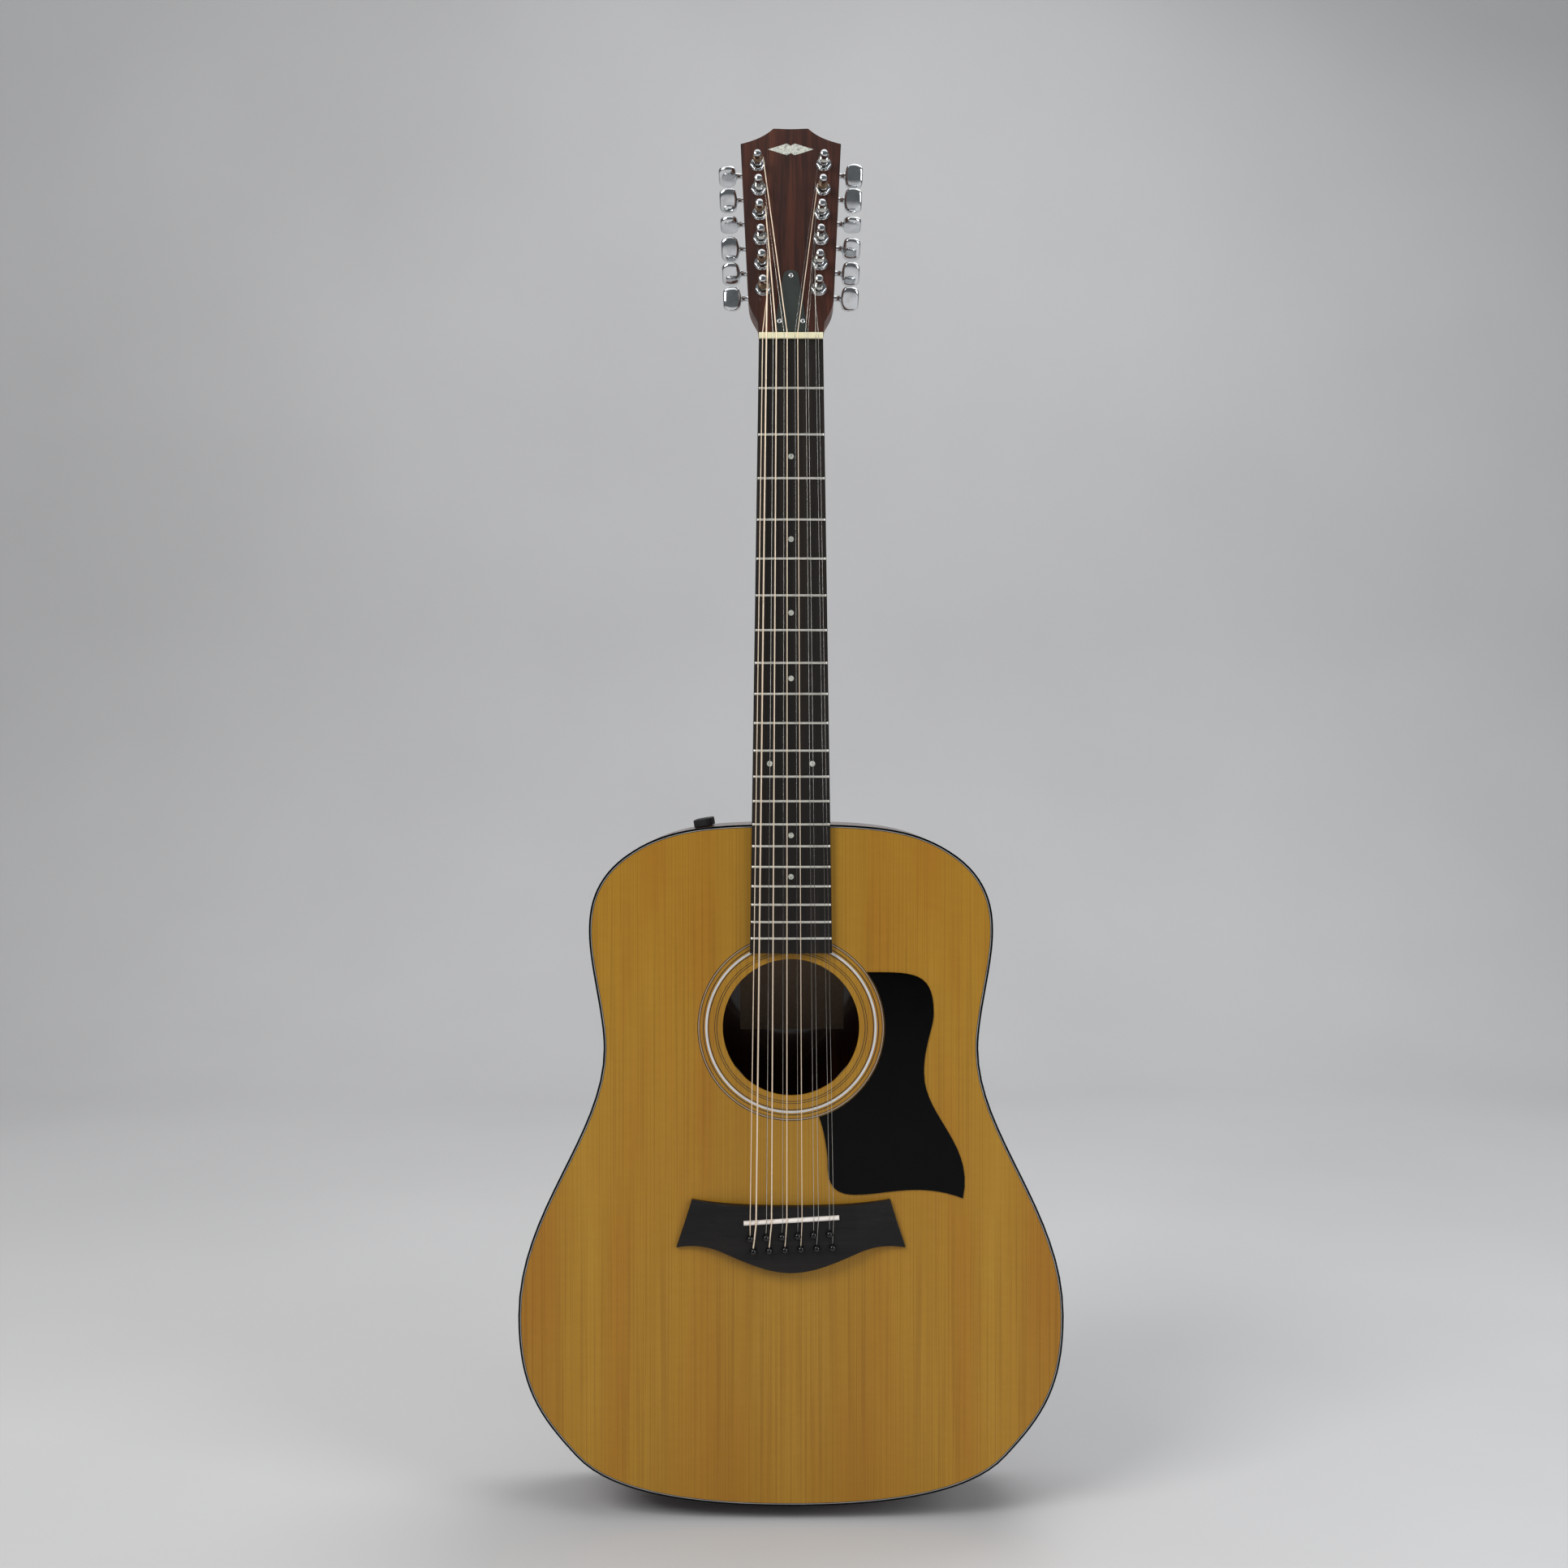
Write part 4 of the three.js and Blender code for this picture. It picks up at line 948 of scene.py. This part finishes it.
def make_frets():
    half_stations = ((0, 1), (0.5, 1), (0.96, 1), (0.985, 0.8), (1, 0.35))
    stations = [(-share, rise) for share, rise in half_stations[:0:-1]] + [*half_stations]
    for n in range(1, FRET_COUNT + 1):
        z0 = fret_z(n)
        reach = board_half(z0) - FRET["inset"]
        rings = []
        for share, rise in stations:
            x = share * reach
            foot = board_y(x) + 0.05
            height, half = FRET["height"] * rise, FRET["half_width"]
            crown = [(x, board_y(x) - height * sin(a), z0 + half * cos(a)) for a in steps(0, pi, 8)]
            rings.append(crown + [(x, foot, z0 - 0.9), (x, foot, z0 + 0.9)])
        tang = block((-reach + 1, reach - 1), (-6.3, -5.05), (z0 - 0.2, z0 + 0.2))
        piece(f"fret_{n:02d}", joined(loft(rings), tang), "nickel")


def make_dots():
    rim_radius = DOT_RADIUS - 0.1
    profile = [(0, -0.03), (rim_radius, -0.03), (DOT_RADIUS, 0.03), (DOT_RADIUS, 0.8), (0, 0.8)]
    for n in DOT_FRETS:
        middle = (fret_z(n) + fret_z(n - 1)) / 2
        places = [-DOUBLE_DOT["x"], DOUBLE_DOT["x"]] if n == DOUBLE_DOT["fret"] else [0]
        for number, x0 in enumerate(places, 1):
            disc = shifted(turned(profile, 28), x0, 0, middle)
            disc = moved(disc, lambda x, y, z: (x, y + board_y(x), z))
            piece(f"dot_fret_{n:02d}_{number}", disc, "pearl")


def make_nut():
    """The nut: an end view with a round-bottomed notch for each string, run along its length."""
    top, floor = -NUT["top"], -NUT["floor"]
    view = [(-NUT_HALF_WIDTH, NUT["foot"]), (-NUT_HALF_WIDTH, top + 0.5), (-NUT_HALF_WIDTH + 0.5, top)]
    for _, x, _, diameter, _ in STRINGS:
        half = diameter / 2 + 0.1
        view += [(x - half, top), (x - 0.7 * half, floor), (x + 0.7 * half, floor), (x + half, top)]
    view += [(NUT_HALF_WIDTH - 0.5, top), (NUT_HALF_WIDTH, top + 0.5), (NUT_HALF_WIDTH, NUT["foot"])]
    rings = [[(x, y, NUT_Z + z) for x, y in view] for z in (0.05, NUT["length"])]
    piece("nut_bar", loft(rings), "nut_bone", replaces=["nut"], rounding=0.12)


# ---- headstock

TUNERS = [(side, i) for side in (-1, 1) for i in range(COURSES)]


def post_x(i):
    return lerp(*POST_X, i / (COURSES - 1))


def post_s(i):
    return POST_S[0] + POST_S[1] * i


def tuner_frame(side, i):
    place = Matrix.Translation((side * post_x(i), 0, post_s(i)))
    return HEAD @ place @ Matrix.Rotation(side * EDGE_ANGLE, 4, "Y")


def tuner_label(side, i):
    return f"{'bass' if side < 0 else 'treble'}_{i + 1}"


def make_overlay():
    holes = [circle(4.6, 32, side * post_x(i), post_s(i)) for side, i in TUNERS]
    sheet = plate(head_outline(5.2), OVERLAY_FACE, -0.02, holes, 0.25, 0.05)
    piece("head_face", sheet, "rosewood", HEAD, replaces=["headstock_overlay"])
    s0, half, tall = 163.4, 17.5, 5.2
    lower = [(-half, 0), (-3, -tall), (0, -0.62 * tall), (3, -tall)]
    diamond = [Vector((x, s0 + s)) for x, s in lower + [(-x, -s) for x, s in lower]]
    piece("head_inlay", plate(diamond, OVERLAY_FACE - 0.03, -1.6, edge=0.02), "pearl", HEAD)


def screw_head(radius, y, height):
    """A round screw head with a cross, standing from y towards -y."""
    rise = [
        (0, y + 1.5), (0.5 * radius, y + 1.5), (0.5 * radius, y), (radius, y), (radius, y - 0.35 * height),
        (0.8 * radius, y - 0.8 * height), (0.45 * radius, y - height), (0, y - height),
    ]
    arm, tip = 0.2 * radius, 0.62 * radius
    corner = [(arm, tip), (arm, arm), (tip, arm)]
    ring = []
    for _ in range(4):
        ring += corner
        corner = [(z, -x) for x, z in corner]
    cross = loft([[(x, depth, z) for x, z in ring] for depth in (y - 2 * height, y - 0.35 * height)])
    return turned(rise, 24), [cross]


def make_rod_cover():
    half = bezier([
        (0, 57.3), (4, 57.3), (5.6, 55.2), (5.9, 52), (6.6, 46), (9.4, 28), (12.2, 8.4),
        (12.6, 6.4), (11.6, 5.8), (10, 5.8),
    ], 8)
    sheet = plate(mirrored_outline(half), COVER_FACE, OVERLAY_FACE - 0.02, edge=0.35)
    piece("rod_cover", sheet, "cover", HEAD, replaces=["truss_rod_cover"])
    for number, (x, s) in enumerate(((0, 52.6), (-8.7, 14.2), (8.7, 14.2)), 1):
        head, cross = screw_head(1.9, COVER_FACE, 0.9)
        space = HEAD @ Matrix.Translation((x, 0, s))
        piece(f"rod_cover_screw_{number}", head, "chrome", space, cutters=cross)


def make_post(side, i):
    name = f"tuner_post_{tuner_label(side, i)}"
    y, waist, half, shoulder = GROOVE["y"], GROOVE["radius"], GROOVE["half"], GROOVE["shoulder"]
    profile = [
        (0, -17.9), (1.6, -17.8), (2.4, -17.5), (2.85, -16.9), (POST_RADIUS, -16.2),
        (POST_RADIUS, y - shoulder), (2.8, y - half - 0.5), (waist, y - half + 0.4),
        (waist, y + half - 0.4), (2.8, y + half + 0.5), (POST_RADIUS, y + shoulder),
        (POST_RADIUS, 15.9), (1.8, 16.1), (1.8, 23.6), (0, 23.6),
    ]
    space = tuner_frame(side, i)
    hole = shifted(along_x(rod(0.75, -6, 6, 16)), y=y)
    piece(name.replace("tuner_", ""), turned(profile, 32), "chrome", space, name, [name], cutters=[hole])
    teeth = WHEEL["teeth"]
    wheel = washer(1.85, WHEEL["radius"], WHEEL["start"], WHEEL["end"], teeth * 4,
                   lambda r, a: r - 0.3 * (1 + cos(teeth * a)) if r > 2 else r)
    piece(name.replace("tuner_post", "worm_wheel"), wheel, "brass", space, name)


def make_winding(side, i):
    """The turns of string on a post, as rings that lie against each other."""
    _, _, _, diameter, finish = STRINGS[i if side < 0 else len(STRINGS) - 1 - i]
    turns = min(9, max(3, round(3.4 / diameter)))
    span = min(3.8, turns * diameter)
    swell = min(0.5 * diameter, 0.3)
    valley = WINDING["radius"] - 0.02 - swell
    start = -WINDING["heights"][i % 2] - span / 2
    profile = [(2.52, start)]
    for n in range(turns):
        for part in (0.08, 0.3, 0.5, 0.7, 0.92):
            profile.append((valley + swell * sin(pi * part), start + span * (n + part) / turns))
    profile.append((2.52, start + span))
    name = f"tuner_post_{tuner_label(side, i)}"
    # Bronze windings take the darker look of the same wire, which is painted shade.
    look = "painted_shade_coil" if finish == "bronze" else finish
    piece(name.replace("tuner_post", "winding"), turned(profile, 28), look, tuner_frame(side, i), name)


def make_knob(side, i):
    name = f"tuner_knob_{tuner_label(side, i)}"
    turn = Matrix.Rotation(radians(BUTTON_TURNS[side][i]), 4, "X")
    space = tuner_frame(side, i) @ Matrix.Translation((0, WORM["y"], WORM["z"])) @ turn
    stations = [
        (0, 2.6, 2.4), (0.02, 3.2, 2.7), (0.06, 6.4, 3.2), (0.14, 8.6, 3.5), (0.3, 9.6, 3.6),
        (0.5, 9.8, 3.7), (0.7, 9.5, 3.6), (0.88, 8.3, 3.4), (0.97, 6.8, 2.7), (1, 5.6, 1.8),
    ]
    rings = []
    for share, half, thick in stations:
        x = side * (BUTTON_START + BUTTON_LENGTH * share)
        rings.append([(x, thick * copysign(abs(s) ** 0.75, s), half * copysign(abs(c) ** 0.85, c))
                      for c, s in around(16)])
    button = name.replace("tuner_knob", "tuner_button")
    piece(button, loft(rings), "chrome", space, name, [name], sharp=180, smoothing=2)
    reach, crest, threads = WORM["reach"], WORM["radius"], 10
    step = 2 * reach / threads
    profile = [(0, -reach)]
    for n in range(threads):
        y = n * step - reach
        profile += [(1.1, y + 0.1 * step), (crest, y + 0.4 * step), (crest, y + 0.6 * step),
                    (1.1, y + 0.9 * step)]
    profile += [(1.6, 5), (1.6, 9.1), (2.6, 9.4), (2.75, 10), (2.75, 11.2), (2.3, 11.6), (2.1, 12.4),
                (2.1, 14.6), (2.5, 15.4), (2.7, 16.4), (2.4, 17.2), (0, 17.2)]
    shaft = along_x(turned(profile, 24), side)
    piece(name.replace("tuner_knob", "worm_shaft"), shaft, "chrome", space, name, [name])


def make_housing(side, i):
    label = tuner_label(side, i)
    node = f"tuner_housings_{label.split('_')[0]}"
    space = tuner_frame(side, i)
    back_face, face = HEAD_WOOD + 0.05, OVERLAY_FACE - 0.02

    def xs(inner, outer):
        return sorted((side * inner, side * outer))

    def part(name, shape, cutters=()):
        piece(f"{name}_{label}", shape, "chrome", space, replaces=[node], cutters=cutters)

    def screw(name, look, radius, height, y, z):
        head, cross = screw_head(radius, 0, height)
        flip = Matrix.Translation((0, y, z)) @ Matrix.Rotation(pi, 4, "X")
        piece(f"{name}_{label}", head, look, space @ flip, cutters=cross)

    shell = plate(rounded_box(*xs(-6, 8.8), -6, 9, 1.6), back_face + 0.9, 24.95, edge=1)
    hollow = block(xs(-5, 7), (back_face + 2, 24), (-4.6, 7.8))
    bore = shifted(along_x(rod(2, 0, 12), side), y=WORM["y"], z=WORM["z"])
    part("gear_housing", shell, [hollow, bore])
    half, long = 4, POST_S[1] / 2 - 0.1
    corners = rounded_box(-half, half, -long, long, 2.6)
    part("housing_foot", plate(corners, back_face, back_face + 1.2, [circle(3.6, 32)], 0.2))
    screw("housing_screw", "chrome", 1.8, 0.9, back_face + 1.2, -8.4)
    screw("housing_cap_screw", "steel", 2.1, 0.7, 24.93, 0)
    part("bushing", washer(3.6, 4.4, OVERLAY_FACE - 1, back_face))
    profile = [(4.5, face), (5.9, face), (6, face - 0.25), (5.7, face - 0.6), (4.5, face - 0.7)]
    part("washer", turned(profile, 40))
    top = face - 2.3
    profile = [(3.25, face - 0.7), (5.4, face - 0.7), (5.4, top + 0.8), (4.6, top + 0.15), (3.6, top),
               (3.25, top + 0.3)]
    part("bushing_nut", turned(profile, 48, lambda r, a: hexagon(r, a) if r > 5 else r))


# ---- bridge and strings

def saddle_z(x):
    (x0, z0), (x1, z1) = SADDLE["bass"], SADDLE["treble"]
    return lerp(z0, z1, (x - x0) / (x1 - x0))


def pin_spot(k):
    """Where string number k leaves the bridge: the two strings of a pair use different rows of pins."""
    first, last = PIN_REAR if k % 2 else PIN_FRONT
    t = (k // 2) / (COURSES - 1)
    return lerp(first[0], last[0], t), lerp(first[1], last[1], t)


def saddle_section(grow, top, floor):
    """Rings of the saddle from its bass end to its treble end; grow widens it all round."""
    bass, treble = Vector(SADDLE["bass"]), Vector(SADDLE["treble"])
    along = (treble - bass).normalized()
    across = Vector((-along.y, along.x))
    half = SADDLE["half"] + grow
    length = (treble - bass).length
    ends = ((-grow, 0.6), (0.25, 0.15), (0.9, 0))
    stations = [*ends, *[(length * k / 8, 0) for k in range(1, 8)]]
    stations += [(length - travel, drop) for travel, drop in ends[::-1]]
    crown = ((-1, 1.4), (-0.8, 0.5), (-0.4, 0.1), (0, 0), (0.4, 0.1), (0.8, 0.5), (1, 1.4))
    rings = []
    for travel, drop in stations:
        rows = [(part, top + sink + drop) for part, sink in crown] + [(1, floor), (-1, floor)]
        spots = [(bass + along * travel + across * half * part, y) for part, y in rows]
        rings.append([(p.x, y, p.y) for p, y in spots])
    return loft(rings)


def make_bridge():
    half = bezier([
        (0, 224.8), (30, 224.8), (55, 226.2), (73.7, 229.4), (76.9, 218.2), (80.9, 206.6), (85.2, 193.7),
        (77, 195.1), (66, 196.1), (53, 191.6), (42, 187.9), (21, 175.7), (0, 175.7),
    ])
    slab = plate(mirrored_outline(half), BRIDGE_TOP, -0.02, edge=0.9)
    start, end, low = BRIDGE_WING["start"], BRIDGE_WING["end"], BRIDGE_WING["height"]
    slab = sliced(slab, [side * (start + 3 * k) for side in (-1, 1) for k in range(14)])

    def scoop(x, y, z):
        t = min(1.0, max(0.0, (abs(x) - start) / (end - start)))
        height = lerp(-BRIDGE_TOP, low, sin(t * pi / 2))
        return x, y * height / -BRIDGE_TOP, z

    slot = saddle_section(0.12, -20, SADDLE["floor"] + 0.1)
    holes = [rod(2.45, -20, 10, 24, *pin_spot(k)) for k in range(len(STRINGS))]
    piece("bridge_body", moved(slab, scoop), "bridge_ebony", replaces=["bridge"], cutters=[slot, *holes])
    bar = saddle_section(0, SADDLE["crest"], SADDLE["floor"])
    piece("saddle_bar", bar, "saddle_bone", replaces=["saddle"], sharp=50)


def make_pins():
    ball, flatness = 2.7, 0.86
    middle = BRIDGE_TOP - 1.85
    angles = [pi * n / 11 for n in range(10)]
    profile = [(ball * sin(a), middle - flatness * ball * cos(a)) for a in angles]
    profile += [(1.7, BRIDGE_TOP + 0.1), (2.35, BRIDGE_TOP + 0.5), (2.3, BRIDGE_TOP + 4),
                (1.9, 9), (1.3, 10.5), (0, 10.5)]
    for k in range(len(STRINGS)):
        x, z = pin_spot(k)
        space = BODY @ Matrix.Translation((x, 0, z))
        piece(f"bridge_pin_{k + 1:02d}", turned(profile, 32), "pin", space, sharp=50)


def string_path(k):
    _, nut_x, bridge_x, diameter, _ = STRINGS[k]
    radius = diameter / 2
    pin_x, pin_z = pin_spot(k)
    crest_y = SADDLE["crest"] - radius - STRING_LIFT
    nut_y = -NUT["floor"] - radius - STRING_LIFT
    crest_z = saddle_z(bridge_x)
    side = -1 if k < COURSES else 1
    i = k if side < 0 else len(STRINGS) - 1 - k
    inner = -side * (WINDING["radius"] + 0.06 + radius)
    post = BODY.inverted() @ tuner_frame(side, i) @ Vector((inner, -WINDING["heights"][i % 2], 0))
    return [
        (pin_x, BRIDGE_TOP - radius - 0.5, pin_z + 2.75),
        (bridge_x, crest_y, crest_z - 0.7),
        (bridge_x, crest_y, crest_z + 0.6),
        (lerp(bridge_x, nut_x, 0.5), lerp(crest_y, nut_y, 0.5), lerp(crest_z, NUT_Z, 0.5)),
        (nut_x, nut_y, NUT_Z),
        (nut_x, nut_y, NUT_Z + NUT["length"]),
        tuple(post),
    ]


def make_strings():
    for k, (name, _, _, diameter, look) in enumerate(STRINGS):
        wire = tube(string_path(k), diameter / 2, 12)
        piece(f"{name}_wire", wire, look, replaces=[f"string_{name}"], sharp=60)


# ---- CAD nodes that stay in view

def dress_cad_nodes():
    kept = {"neck_block": "raw_mahogany", "tail_block": "raw_mahogany", "top_bracing": "raw_spruce",
            "truss_rod": "steel", "preamp": "matt_black"}
    for node, look in kept.items():
        paint(frame["nodes"][node], look)
        round_edges(frame["nodes"][node], 0.4)


# ---- stage, lights and camera

def make_stage():
    """A pale floor that curves up into a far wall."""
    bend, wall_y, near_y, high, half = 0.9, 2.6, -4.5, 5.0, 6.0
    profile = [(near_y, 0.0)]
    for a in steps(0, pi / 2, 24):
        profile.append((wall_y - bend + bend * sin(a), bend - bend * cos(a)))
    profile.append((wall_y, high))
    verts = [(x, y, z) for x in (-half, half) for y, z in profile]
    size = len(profile)
    faces = [(k, k + 1, size + k + 1, size + k) for k in range(size - 1)]
    mesh = bpy.data.meshes.new("studio_floor")
    mesh.from_pydata(verts, [], faces)
    mesh.shade_smooth()
    mesh.materials.append(backdrop().material)
    floor = add_object("studio_floor", mesh)
    floor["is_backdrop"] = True


def add_light(name, place, target, size, power, colour=(1, 1, 1)):
    data = bpy.data.lights.new(name, "AREA")
    data.shape = "RECTANGLE"
    data.size, data.size_y = size
    data.energy = power
    data.color = colour
    light = add_object(name, data)
    light.location = place
    light.rotation_euler = (Vector(target) - Vector(place)).to_track_quat("-Z", "Y").to_euler()


def make_lights():
    world = bpy.data.worlds.new("studio")
    world.use_nodes = True
    sky = world.node_tree.nodes["Background"].inputs
    sky["Color"].default_value = (0.9, 0.95, 1, 1)
    sky["Strength"].default_value = 0.14
    bpy.context.scene.world = world
    middle = (0, 0, 0.55)
    add_light("key", (-1.7, -1.9, 2.4), middle, (1.4, 1.4), 55, (1, 0.985, 0.96))
    add_light("fill", (2.0, -1.5, 1.4), middle, (1.2, 1.8), 30, (0.96, 0.98, 1))
    add_light("overhead", (0, -0.1, 3.2), (0, 0.1, 0), (3.0, 2.4), 24)
    add_light("wall_wash", (0, 0.6, 4.2), (0, 2.6, 0.9), (5.0, 1.2), 12)
    add_light("rear", (0.9, 1.1, 3.1), (0, 0, 0.4), (1.8, 1.4), 30)


def make_camera():
    data = bpy.data.cameras.new("camera")
    data.sensor_width = 36
    data.lens = 40.33
    camera = add_object("camera", data)
    camera.location = (-0.0052, -1.3593, 0.5536)
    camera.rotation_euler = (radians(89.84), 0, 0)
    bpy.context.scene.camera = camera
    bpy.context.scene.view_settings.view_transform = "Standard"


# ---- assembly

make_soundboard()
make_sides()
make_bindings()
make_linings()
make_back()
make_label()
make_strap_pin()
make_pickguard()
make_controls()
make_neck()
make_heel_cap()
make_fretboard()
make_frets()
make_dots()
make_nut()
make_overlay()
make_rod_cover()
for tuner_side, tuner_number in TUNERS:
    make_post(tuner_side, tuner_number)
    make_winding(tuner_side, tuner_number)
    make_knob(tuner_side, tuner_number)
    make_housing(tuner_side, tuner_number)
make_bridge()
make_pins()
make_strings()
dress_cad_nodes()
make_stage()
make_lights()
make_camera()

boxes = {"cad": CAD_BOX, "visual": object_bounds()}
{name: [list(corner) for corner in box] for name, box in boxes.items()}
